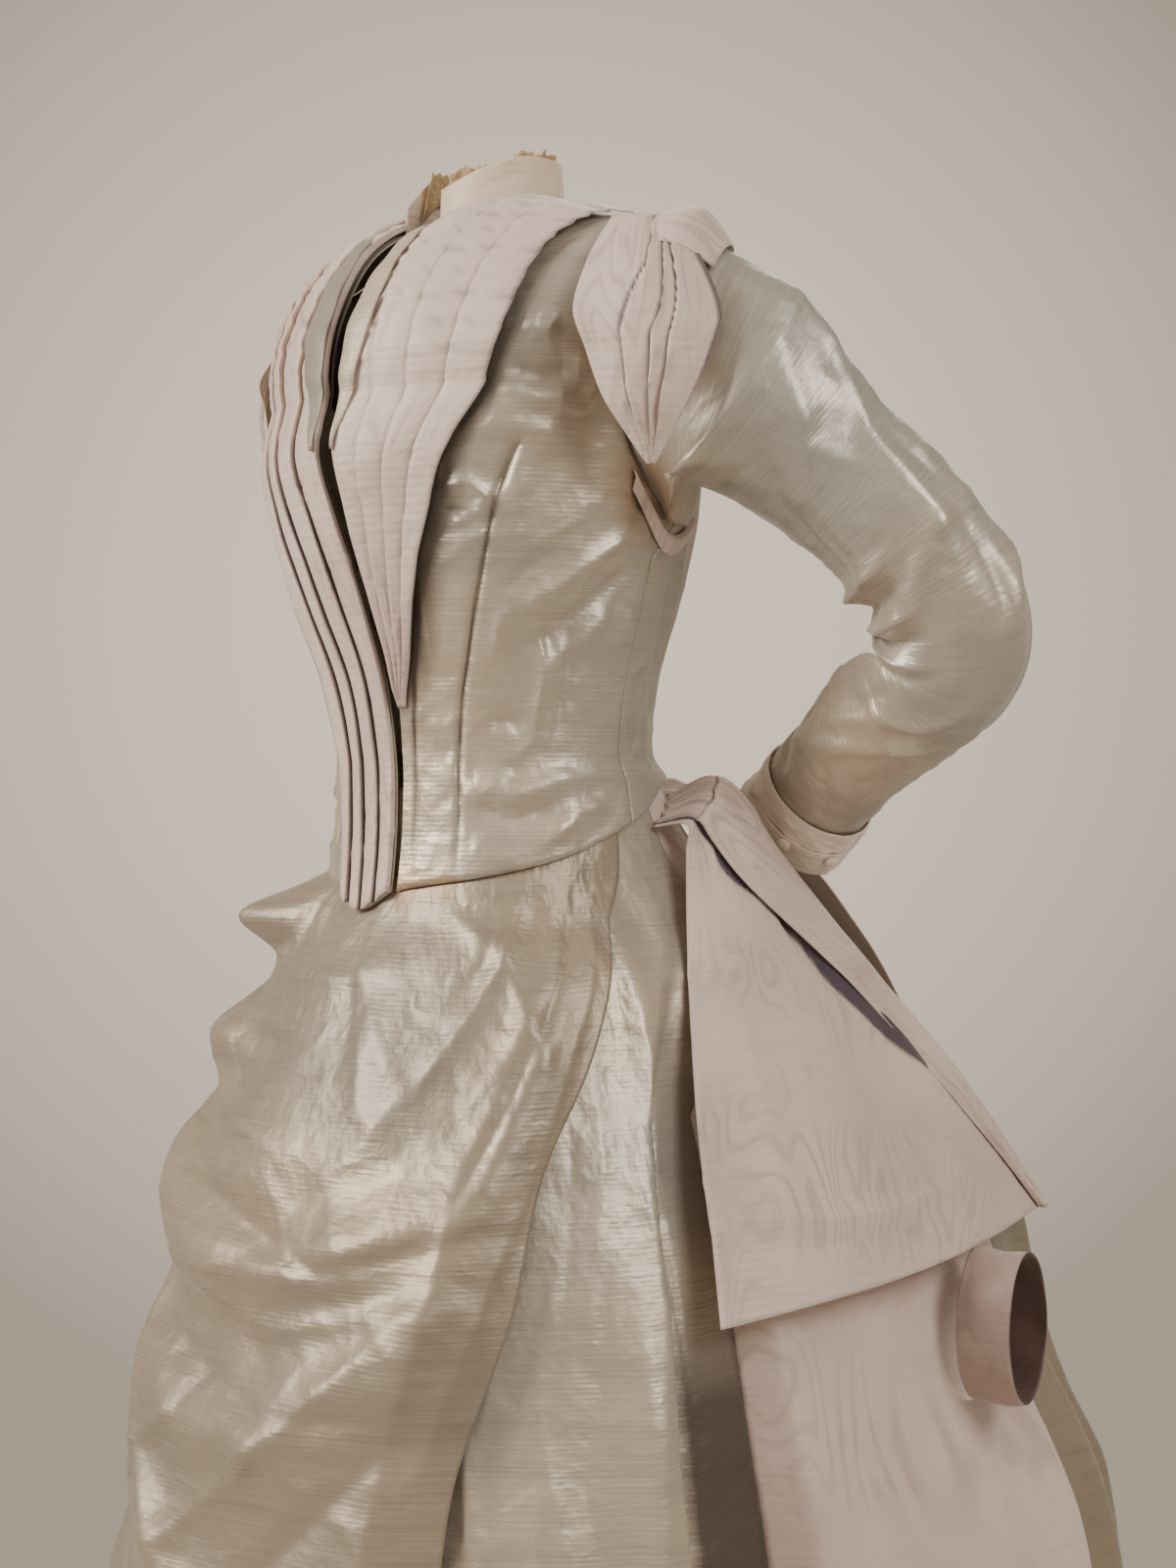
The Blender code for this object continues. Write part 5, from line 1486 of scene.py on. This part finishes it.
@dataclass
class Skirt:
    """Front gore, left side gore with its deep fold, lilac panels and the silver back."""

    front_start: float = -48.0
    side_start: float = 34.0
    fold_angle: float = 96.0
    back_start: float = 134.0
    right_start: float = 226.0
    right_end: float = 312.0
    gap: float = 0.06
    reach: float = 20.0
    deep: float = 0.024
    top: float = -0.024
    hem: float = -1.02
    rows: int = 125

    def lift(self, folds: Table, angle: Grid, level: Grid) -> Grid:
        """Height of the skirt's folds.

        Args:
            folds: The folds' table.
            angle: Angles round the skirt.
            level: Levels of the places.

        Returns:
            The height at each place.
        """
        total = np.zeros(angle.shape)
        for at, top, width, height in folds.rows:
            fade = np.clip((top - level) / 0.12, 0, 1)
            total += height * fade * np.exp(-((angle - at) / width) ** 2)
        return total

    def recess(self, angle: Grid, level: Grid) -> Grid:
        """How far the deep fold lies inside the skirt."""
        start = 81.0 + 37.0 * np.clip((level + 0.36) / 0.33, 0, 1) ** 2
        depth = self.deep * np.clip((-0.10 - level) / 0.20, 0, 1)
        return -depth * np.clip((angle - start) / 3.0, 0, 1)

    def breadth(self, name: str, first: float, last: float, columns: int, folds: Table | None,
                slot: str, seed: int, strength: float = 0.0026) -> ClothPiece:
        """A breadth of the skirt between two angles.

        Args:
            name: Name of its node.
            first: Angle of its first edge.
            last: Angle of its last edge.
            columns: Number of columns.
            folds: Its table of folds.
            slot: Its material slot.
            seed: Seed of its crumples.
            strength: Height of its crumples.

        Returns:
            The breadth.
        """
        level, share = rows_and_shares(self.top, self.hem, self.rows, columns)
        reach = self.reach * np.clip((level + 0.24) / 0.14, 0, 1)
        start = first + reach * (name == "skirt_lilac_left")
        stop = last + reach * (name == "skirt_side_left")
        angle = start + self.gap + (stop - start - 2 * self.gap) * share
        lift = self.lift(folds, angle, level) if folds else np.zeros(angle.shape)
        shade = None
        if name == "skirt_side_left":
            lift = lift + self.recess(angle, level)
            # Painted shade in the deep fold's recess, low on the side gore.
            deep = np.clip((angle - 84.0) / 4.0, 0, 1) * np.clip((-0.34 - level) / 0.08, 0, 1)
            shade = 0.85 * deep
        if name == "skirt_lilac_left":
            lift = lift + self.recess(np.full(angle.shape, self.fold_angle), level) * np.clip(
                1 - share * 14, 0, 1)
        points = outline(SKIRT, angle, level, lift)
        uv = flat_uv(np.radians(angle) * SKIRT_RADIUS, level)
        piece = ClothPiece(name, points, uv, Held.GATHERED, slot, shade)
        fade = np.clip(np.minimum(share, 1 - share) / 0.05, 0, 1) * np.clip(
            (-0.16 - level) / 0.10, 0, 1)
        width = math.radians(last - first) * SKIRT_RADIUS
        count = int(30 + 90 * width)
        height = relief_of((Crumple(count, seed, strength, 0.24, 0.013, 86.0, 10.0),
                            Crumple(count, seed + 100, strength * 0.45, 0.05, 0.004, 30.0,
                                    60.0)), uv[..., 0], uv[..., 1])
        return piece.raised(height * fade)

    def build(self, silver: bpy.types.Material, lilac: bpy.types.Material,
              train: bpy.types.Material) -> None:
        """Build all breadths.

        Args:
            silver: Finish of the front and side gores.
            lilac: Finish of the lilac panels.
            train: Finish of the back breadths, the silver darkened as painted shade.
        """
        self.breadth("skirt_front", self.front_start, self.side_start, 60, None,
                     "silver", 91).build(silver)
        self.breadth("skirt_side_left", self.side_start, self.fold_angle, 110, SIDE_FOLDS,
                     "silver", 92).build(silver)
        self.breadth("skirt_lilac_left", self.fold_angle, self.back_start, 90, LILAC_FOLDS,
                     "lilac", 93, 0.0016).build(lilac)
        self.breadth("skirt_back", self.back_start, self.right_start, 160, TRAIN_FOLDS,
                     "silver", 94).build(train)
        self.breadth("skirt_lilac_right", self.right_start, self.right_end, 125, RIGHT_FOLDS,
                     "lilac", 95, 0.0016).build(lilac)


@dataclass
class Apron:
    """Overskirt puffed at the right hip, swagged in front and folded back on the left."""

    rows: int = 160
    columns: int = 165
    seat: float = 0.0035
    steps: int = 10
    tucks: tuple[float, float] = (0.010, -0.0005)
    room: float = 0.0026
    right_ease: float = -20.0

    def lift(self, angle: Grid, level: Grid) -> Grid:
        """How far the apron stands out from the skirt, with its main folds."""
        aside = np.clip((self.right_ease - angle) / 25.0, 0, 1)
        low = np.clip((-0.25 - level) / 0.10, 0, 1)
        lift = APRON.at("stand", "level", level) * (1 - 0.6 * aside * low)
        for a1, z1, a2, z2, sag, width, height in SWAGS.rows:
            shares = np.linspace(0, 1, self.steps + 1)
            angles = a1 + (a2 - a1) * shares
            levels = z1 + (z2 - z1) * shares - sag * 4 * shares * (1 - shares)
            path = tuple(zip(angles * 0.0030, levels))
            flat = Fold(path, height, width, 2.0)
            full = flat.relief(angle * 0.0030, level)
            lift = lift + full * np.clip(lift / 0.002, 0, 1)
        return lift

    def folds(self) -> tuple[Fold | Crumple, ...]:
        """Listed creases of the drapery."""
        hand = []
        for path, height, width in (
                (((-60, -0.215), (-20, -0.290), (20, -0.330), (50, -0.300)), -0.0060, 0.009),
                (((-58, -0.250), (-25, -0.335), (10, -0.372), (44, -0.345)), 0.0050, 0.009),
                (((-52, -0.300), (-22, -0.385), (12, -0.425), (38, -0.410)), -0.0046, 0.010),
                (((-62, -0.190), (-30, -0.235), (6, -0.262)), 0.0050, 0.008),
                (((-50, -0.160), (-24, -0.192), (0, -0.200)), -0.0040, 0.007),
                (((-44, -0.125), (-20, -0.150), (6, -0.152), (24, -0.140)), 0.0034, 0.008),
                (((92, -0.080), (78, -0.180), (62, -0.290), (48, -0.400)), -0.0050, 0.007),
                (((86, -0.085), (66, -0.200), (48, -0.330), (36, -0.460)), 0.0046, 0.008),
                (((78, -0.090), (56, -0.200), (38, -0.310)), -0.0036, 0.008),
                (((60, -0.100), (44, -0.170), (30, -0.230)), 0.0030, 0.008),
                (((40, -0.340), (10, -0.450), (-18, -0.560)), 0.0046, 0.010),
                (((36, -0.420), (8, -0.540), (-14, -0.660)), -0.0046, 0.010),
                (((30, -0.500), (4, -0.620), (-12, -0.740)), 0.0042, 0.011),
                (((-36, -0.330), (-20, -0.450), (-2, -0.560)), 0.0046, 0.009),
                (((-40, -0.390), (-26, -0.520), (-10, -0.640)), -0.0042, 0.009),
                (((-34, -0.500), (-22, -0.620), (-10, -0.740)), 0.0036, 0.009)):
            hand.append(Fold(tuple(at_skirt(a, z) for a, z in path), height, width))
        return tuple(hand) + (
            Crumple(60, 111, 0.0012, 0.11, 0.0050, -40.0, 22.0),
            Crumple(46, 112, 0.0011, 0.060, 0.0036, 24.0, 40.0),
            Crumple(34, 113, 0.0040, 0.26, 0.020, -52.0, 16.0),
            Crumple(22, 114, 0.0034, 0.18, 0.016, 50.0, 14.0),
        )

    def piece(self) -> ClothPiece:
        """The whole apron."""
        drop = np.concatenate([np.linspace(0.006, 1.0, self.rows) ** 1.15])
        down, share = np.meshgrid(drop, np.linspace(0, 1, self.columns), indexing="ij")
        top_right, top_left = APRON.rows[-1][2], APRON.rows[-1][1]
        top_angle = top_right + (top_left - top_right) * share
        hem = BASQUE_HEM.at("level", "angle", np.abs(top_angle))
        level = hem - 0.010 + (APRON.rows[0][0] - hem + 0.010) * down
        left = APRON.at("left_edge", "level", level)
        right = APRON.at("right_edge", "level", level)
        angle = right + (left - right) * share
        inside = np.minimum(1, np.minimum(8 * share, 8 * (1 - share)))
        lift = self.seat + self.lift(angle, level) * (0.35 + 0.65 * inside)
        body = outline(SKIRT, angle, level, lift)
        tucks = [outline(TORSO, top_angle[0], hem[0] + tuck, -self.room) for tuck in self.tucks]
        points = np.concatenate([np.array(tucks), body])
        angles = np.concatenate([top_angle[:2], angle])
        levels = np.concatenate([hem[:2] + np.array(self.tucks)[:, None], level])
        uv = flat_uv(np.radians(angles) * SKIRT_RADIUS, levels)
        piece = ClothPiece("apron", points, uv, Held.DRAPED, "silver", thickness=0.0011)
        below = np.concatenate([np.zeros((2, self.columns)), np.clip((hem - level - 0.012) / 0.03,
                                                                      0, 1)])
        edge = np.minimum(1, 14 * np.minimum(share[0], 1 - share[0]))
        height = relief_of(self.folds(), uv[..., 0], uv[..., 1])
        return piece.raised(height * below * edge)

    def build(self, silver: bpy.types.Material) -> None:
        """Build the apron."""
        self.piece().build(silver)


@dataclass
class Sash:
    """Hanging sash panels with their folded bands, the puff between them and the loops."""

    rows: int = 105
    columns: int = 78
    band_columns: int = 26
    band_lift: float = 0.0029
    band_first: float = 1.0
    # Places down the panel, heights and widths of dark patches painted as shade where the band seems
    # to open.
    painted_shade_openings: tuple[tuple[float, float, float], ...] = ((4.35, 0.75, 0.085), (2.7, 0.5, 0.06))
    loop_centre: tuple[float, float, float] = (0.2500, 0.258, -0.3967)
    loop_tall: float = 0.052
    loop_wide: float = 0.030
    loop_deep: float = 0.040

    def point(self, place: Grid, share: Grid, lift: Grid | float = 0.0) -> Grid:
        """Points of the left panel.

        Args:
            place: Places down its length.
            share: Shares to its back edge.
            lift: How far the points are moved out.

        Returns:
            A grid of points.
        """
        front = np.stack([SASH.at("front_" + axis, "place", place) for axis in "xyz"], -1)
        back = np.stack([SASH.at("back_" + axis, "place", place) for axis in "xyz"], -1)
        across = back - front
        out = unit(np.stack([across[..., 1], -across[..., 0], 0 * place], -1))
        bulge = SASH.at("bulge", "place", place) * np.sin(math.pi * share) + lift
        return front + across * share[..., None] + out * bulge[..., None]

    def panel(self) -> ClothPiece:
        """The left panel, gathered at the waist."""
        place, share = rows_and_shares(0, 7, self.rows, self.columns)
        gather = np.clip(1 - place / 3.4, 0, 1)
        lift = 0.0016 * gather * np.sin(share * math.tau * 3.5 + 0.6)
        points = self.point(place, share, lift)
        uv = flat_uv(share * 0.29 * np.clip(place / 7, 0.25, 1), points[..., 2])
        # Painted shade in the hollows between the gathers at the waist.
        shade = 0.3 * gather * (np.sin(share * math.tau * 3.5 + 0.6) < -0.5)
        piece = ClothPiece("sash_panel_left", points, uv, Held.HUNG, "lilac", shade)
        hand = (
            Fold(((0.03, -0.16), (0.045, -0.28), (0.05, -0.36)), 0.0024, 0.010),
            Fold(((0.10, -0.12), (0.12, -0.24), (0.13, -0.34)), -0.0024, 0.010),
            Fold(((0.13, -0.10), (0.17, -0.22), (0.19, -0.34)), 0.0028, 0.011),
            Fold(((0.00, -0.150), (0.03, -0.153), (0.06, -0.148)), -0.0020, 0.0030),
            Fold(((0.01, -0.190), (0.05, -0.196), (0.09, -0.190)), 0.0022, 0.0035),
            Fold(((0.00, -0.232), (0.03, -0.236), (0.06, -0.230)), -0.0018, 0.0030),
            Fold(((0.03, -0.305), (0.10, -0.312), (0.20, -0.300)), 0.0030, 0.0050),
            Fold(((0.02, -0.322), (0.09, -0.326), (0.16, -0.318)), -0.0026, 0.0040),
            Fold(((0.08, -0.292), (0.13, -0.300), (0.17, -0.296)), -0.0022, 0.0030),
            Fold(((0.09, -0.060), (0.11, -0.110), (0.15, -0.165)), 0.0060, 0.0080),
            Fold(((0.08, -0.080), (0.10, -0.130), (0.13, -0.180)), -0.0050, 0.0060),
            Crumple(34, 121, 0.0011, 0.05, 0.0045, 10.0, 40.0),
        )
        edge = np.clip((1 - share) / 0.1, 0, 1)
        height = relief_of(hand, uv[..., 0], uv[..., 1]) * np.clip((place - 1) / 2, 0, 1)
        # Painted shade: a dark line beside the band's inner edge, kept in seam, and dark patches
        # standing for openings under the band.
        inner = SASH.at("band", "place", place) - share
        seam = 0.35 * np.exp(-((inner + 0.03) / 0.02) ** 2) * np.clip(place - 1.5, 0, 1)
        for middle, tall, wide in self.painted_shade_openings:
            pocket = np.clip(1 - ((place - middle) / tall) ** 2, 0, 1) * wide
            seam = seam + np.clip((pocket - inner) / 0.012, 0, 1) * (inner > -0.06)
        piece.shade = np.clip(shade + seam, 0, 0.95)
        return piece.raised(height * edge)

    def band(self) -> ClothPiece:
        """The folded band along the left panel's outer edge."""
        place, share = rows_and_shares(self.band_first, 7, self.rows, self.band_columns)
        start = SASH.at("band", "place", place)
        ripple = 0.0008 * np.sin(share * 7 + place) + 0.0012 * np.sin(share * 15 + place * 0.7)
        lift = self.band_lift + 0.0036 * np.sin(math.pi * share) + ripple
        points = self.point(place, start + (1 - start) * share, lift)
        uv = flat_uv(share * 0.05, points[..., 2])
        piece = ClothPiece("sash_band_left", points, uv, Held.FOLDED, "lilac")
        return piece.creased(Crumple(20, 122, 0.0008, 0.04, 0.004, 80.0, 30.0))

    def puff(self) -> ClothPiece:
        """The puff over the top of the bustle."""
        place, share = rows_and_shares(0, 6, 80, 60)
        half = SASH_PUFF.at("half_width", "place", place)
        y, level = SASH_PUFF.at("y", "place", place), SASH_PUFF.at("level", "place", place)
        side = half * (2 * share - 1)
        swell = 0.010 * np.sin(math.pi * share) + 0.002 * np.sin(share * math.tau * 3 + place)
        points = np.stack([-side, y, level + swell], -1)
        uv = flat_uv(side, -place * 0.04)
        piece = ClothPiece("sash_puff", points, uv, Held.FOLDED, "lilac")
        fade = np.clip(np.minimum(share, 1 - share) / 0.1, 0, 1) * np.clip(place, 0, 1)
        height = relief_of((Crumple(40, 123, 0.0020, 0.08, 0.008, 80.0, 40.0),), uv[..., 0],
                           uv[..., 1])
        return piece.raised(height * fade)

    def loop(self) -> ClothPiece:
        """The left hanging loop."""
        along_side = unit(np.array([-0.28, 0.96, 0.0]))
        across = unit(np.array([0.96, 0.28, 0.0]))
        share, turn = np.meshgrid(np.linspace(0, 1, 24), math.tau * np.arange(90) / 90,
                                  indexing="ij")
        points = (np.array(self.loop_centre)
                  + across * (self.loop_deep * (0.5 - share))[..., None]
                  + along_side * (self.loop_wide * np.sin(turn))[..., None]
                  + np.array([0, 0, 1.0]) * (self.loop_tall * np.cos(turn))[..., None])
        uv = flat_uv(share * 0.04, turn * 0.045)
        piece = ClothPiece("sash_loop_left", points, uv, Held.FOLDED, "lilac", closed=True)
        fade = np.sin(math.pi * share) ** 0.5
        height = 0.0016 * np.sin(turn * 3 + share * 4) + 0.0010 * np.sin(turn * 7)
        return piece.raised(height * fade)

    def build(self, lilac: bpy.types.Material, mauve: bpy.types.Material,
              plum: bpy.types.Material) -> None:
        """Build every piece of the sash.

        The loops' grid faces inwards, so plum, a dark painted shade, is on their inside and mauve,
        lilac with painted shade, on their outside.

        Args:
            lilac: Finish of the panels, bands and puff.
            mauve: Finish of the loops' outside, lilac with painted shade.
            plum: Finish of the loops' inside, a dark painted shade.
        """
        pair(self.panel(), lilac)
        pair(self.band(), lilac)
        self.puff().build(lilac)
        pair(self.loop(), plum, mauve)


@dataclass
class Studio:
    """Pale floor, soft lights and the camera at the photograph's place."""

    distance: float = 1.9
    lens: float = 61.99
    aim: tuple[float, float, float] = (0.0457, 0.0544, -0.021)
    floor_radius: float = 1.25
    wall: Colour = (196, 182, 164)
    glow: float = 2.3
    glow_at: tuple[float, float, float] = (-0.777, 0.627, 0.062)
    glow_edge: float = 0.952

    def camera(self) -> None:
        """The camera, level, 50 degrees round to the wearer's left."""
        data = bpy.data.cameras.new("camera")
        data.lens = self.lens
        data.sensor_width = 36.0
        data.sensor_fit = "AUTO"
        camera = bpy.data.objects.new("camera", data)
        x, y, z = self.aim
        camera.location = (x + 0.766 * self.distance, y - 0.643 * self.distance, z)
        camera.rotation_euler = (math.pi / 2, 0.0, math.atan2(0.766, 0.643))
        bpy.context.scene.collection.objects.link(camera)
        bpy.context.scene.camera = camera

    def floor(self) -> None:
        """A round pale floor under the hem."""
        mesh = bpy.data.meshes.new("floor")
        turn = math.tau * np.arange(64) / 64
        rim = np.stack([np.cos(turn), np.sin(turn), 0 * turn], -1) * self.floor_radius
        mesh.from_pydata((rim + np.array([0, 0.1, -1.023])).tolist(), [], [tuple(range(64))])
        recipe = Recipe("floor")
        grain = recipe.mix(recipe.noise(recipe.place, 30.0), linear((205, 200, 192)),
                           linear((196, 190, 182)))
        mesh.materials.append(recipe.finish(grain, recipe.bump(0.5, 0.0, 0.0), 0.8))
        floor = bpy.data.objects.new("floor", mesh)
        bpy.context.scene.collection.objects.link(floor)

    def light(self, name: str, place: tuple[float, float, float], size: float,
              power: float, colour: tuple[float, float, float]) -> None:
        """One soft square light that looks at the dress.

        Args:
            name: Name of the light.
            place: Where it stands.
            size: Its side.
            power: Its power in watts.
            colour: Its colour.
        """
        data = bpy.data.lights.new(name, "AREA")
        data.size = size
        data.energy = power
        data.color = colour
        lamp = bpy.data.objects.new(name, data)
        lamp.location = place
        away = np.array(place) - np.array([0.0, 0.05, -0.1])
        flat = math.hypot(away[0], away[1])
        lamp.rotation_euler = (math.atan2(flat, away[2]), 0.0, math.atan2(away[0], -away[1]))
        bpy.context.scene.collection.objects.link(lamp)

    def build(self) -> None:
        """Set up the whole studio."""
        self.camera()
        self.floor()
        self.light("key", (-0.7, -2.5, 1.25), 1.3, 104.0, (1.0, 0.93, 0.84))
        self.light("side", (2.6, 0.2, 1.5), 1.4, 50.0, (1.0, 0.95, 0.88))
        self.light("rim", (-1.6, 1.9, 1.6), 1.6, 22.0, (1.0, 0.97, 0.93))
        world = bpy.data.worlds.new("room")
        world.use_nodes = True
        sky = world.node_tree.nodes["Background"]
        sky.inputs["Strength"].default_value = 0.8
        make = world.node_tree.nodes.new
        way = make("ShaderNodeTexCoord")
        near = make("ShaderNodeVectorMath")
        near.operation = "DOT_PRODUCT"
        near.inputs[1].default_value = self.glow_at
        share = make("ShaderNodeMapRange")
        share.inputs["From Min"].default_value = self.glow_edge
        blend = make("ShaderNodeMix")
        blend.data_type = "RGBA"
        wall = linear(self.wall)
        blend.inputs[6].default_value = wall
        blend.inputs[7].default_value = tuple(self.glow * part for part in wall[:3]) + (1.0,)
        link = world.node_tree.links.new
        link(way.outputs["Generated"], near.inputs[0])
        link(near.outputs["Value"], share.inputs["Value"])
        link(share.outputs["Result"], blend.inputs[0])
        link(blend.outputs[2], sky.inputs["Color"])
        bpy.context.scene.world = world


def main() -> None:
    """Load the frame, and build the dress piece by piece."""
    logging.basicConfig(level=logging.INFO, format="%(message)s")
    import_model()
    peach = (255, 214, 168)
    brown = (150, 116, 92)
    stains = (
        Stain((0.150, 0.020, 0.175), 0.045, peach, 0.55),
        Stain((0.040, -0.098, -0.086), 0.022, peach, 0.6),
        Stain((0.064, -0.088, -0.088), 0.016, peach, 0.5),
        Stain((-0.030, -0.225, -0.270), 0.006, brown, 0.6),
        Stain((0.100, -0.200, -0.510), 0.005, brown, 0.6),
    )
    silver = Taffeta("silver_taffeta", stains=stains).material()
    # The apron's silver taffeta, darkened as painted shade.
    apron = Taffeta("apron_taffeta_painted_shade", cool=(146, 137, 124), warm=(168, 153, 132),
                    bar=(120, 108, 92), roughness=0.45, metal=0.42, stains=stains).material()
    # The back breadths' silver taffeta, darkened as painted shade.
    train = Taffeta("train_taffeta_painted_shade", cool=(140, 131, 118), warm=(164, 149, 129),
                    bar=(114, 103, 89), roughness=0.43).material()
    lilac = Faille("lilac_faille").material()
    beige = Faille("beige_lilac_faille", light=(216, 197, 176), deep=(194, 172, 150),
                   water=0.4).material()
    grey = Taffeta("grey_silk", cool=(138, 131, 120), warm=(152, 142, 126), metal=0.1,
                   roughness=0.5).material()
    cream = Taffeta("grey_beige_silk", cool=(176, 163, 146), warm=(196, 180, 160), metal=0.15,
                    roughness=0.5).material()
    # A brighter copy of the beige faille for the cuffs, tabs and buttons: painted light.
    pale = Faille("cuff_faille_painted_light", light=(244, 228, 212), deep=(212, 194, 180),
                  water=0.3).material()
    # mauve and plum are the lilac with painted shade, for the outside and the inside of the loops.
    mauve = Faille("mauve_shade_faille", light=(168, 146, 138), deep=(140, 118, 114)).material()
    plum = Faille("plum_shade_faille", light=(96, 74, 68), deep=(78, 58, 55)).material()
    lace = Lace().material()
    Bodice().build(silver)
    Revers().build(lilac, {"left": cream, "right": grey})
    Neck().build(beige, lace)
    Sleeves().build(silver, lilac, pale)
    Epaulettes().build(lilac)
    Skirt().build(silver, lilac, train)
    Apron().build(apron)
    Sash().build(lilac, mauve, plum)
    Studio().build()


if __name__ == "__main__":
    main()
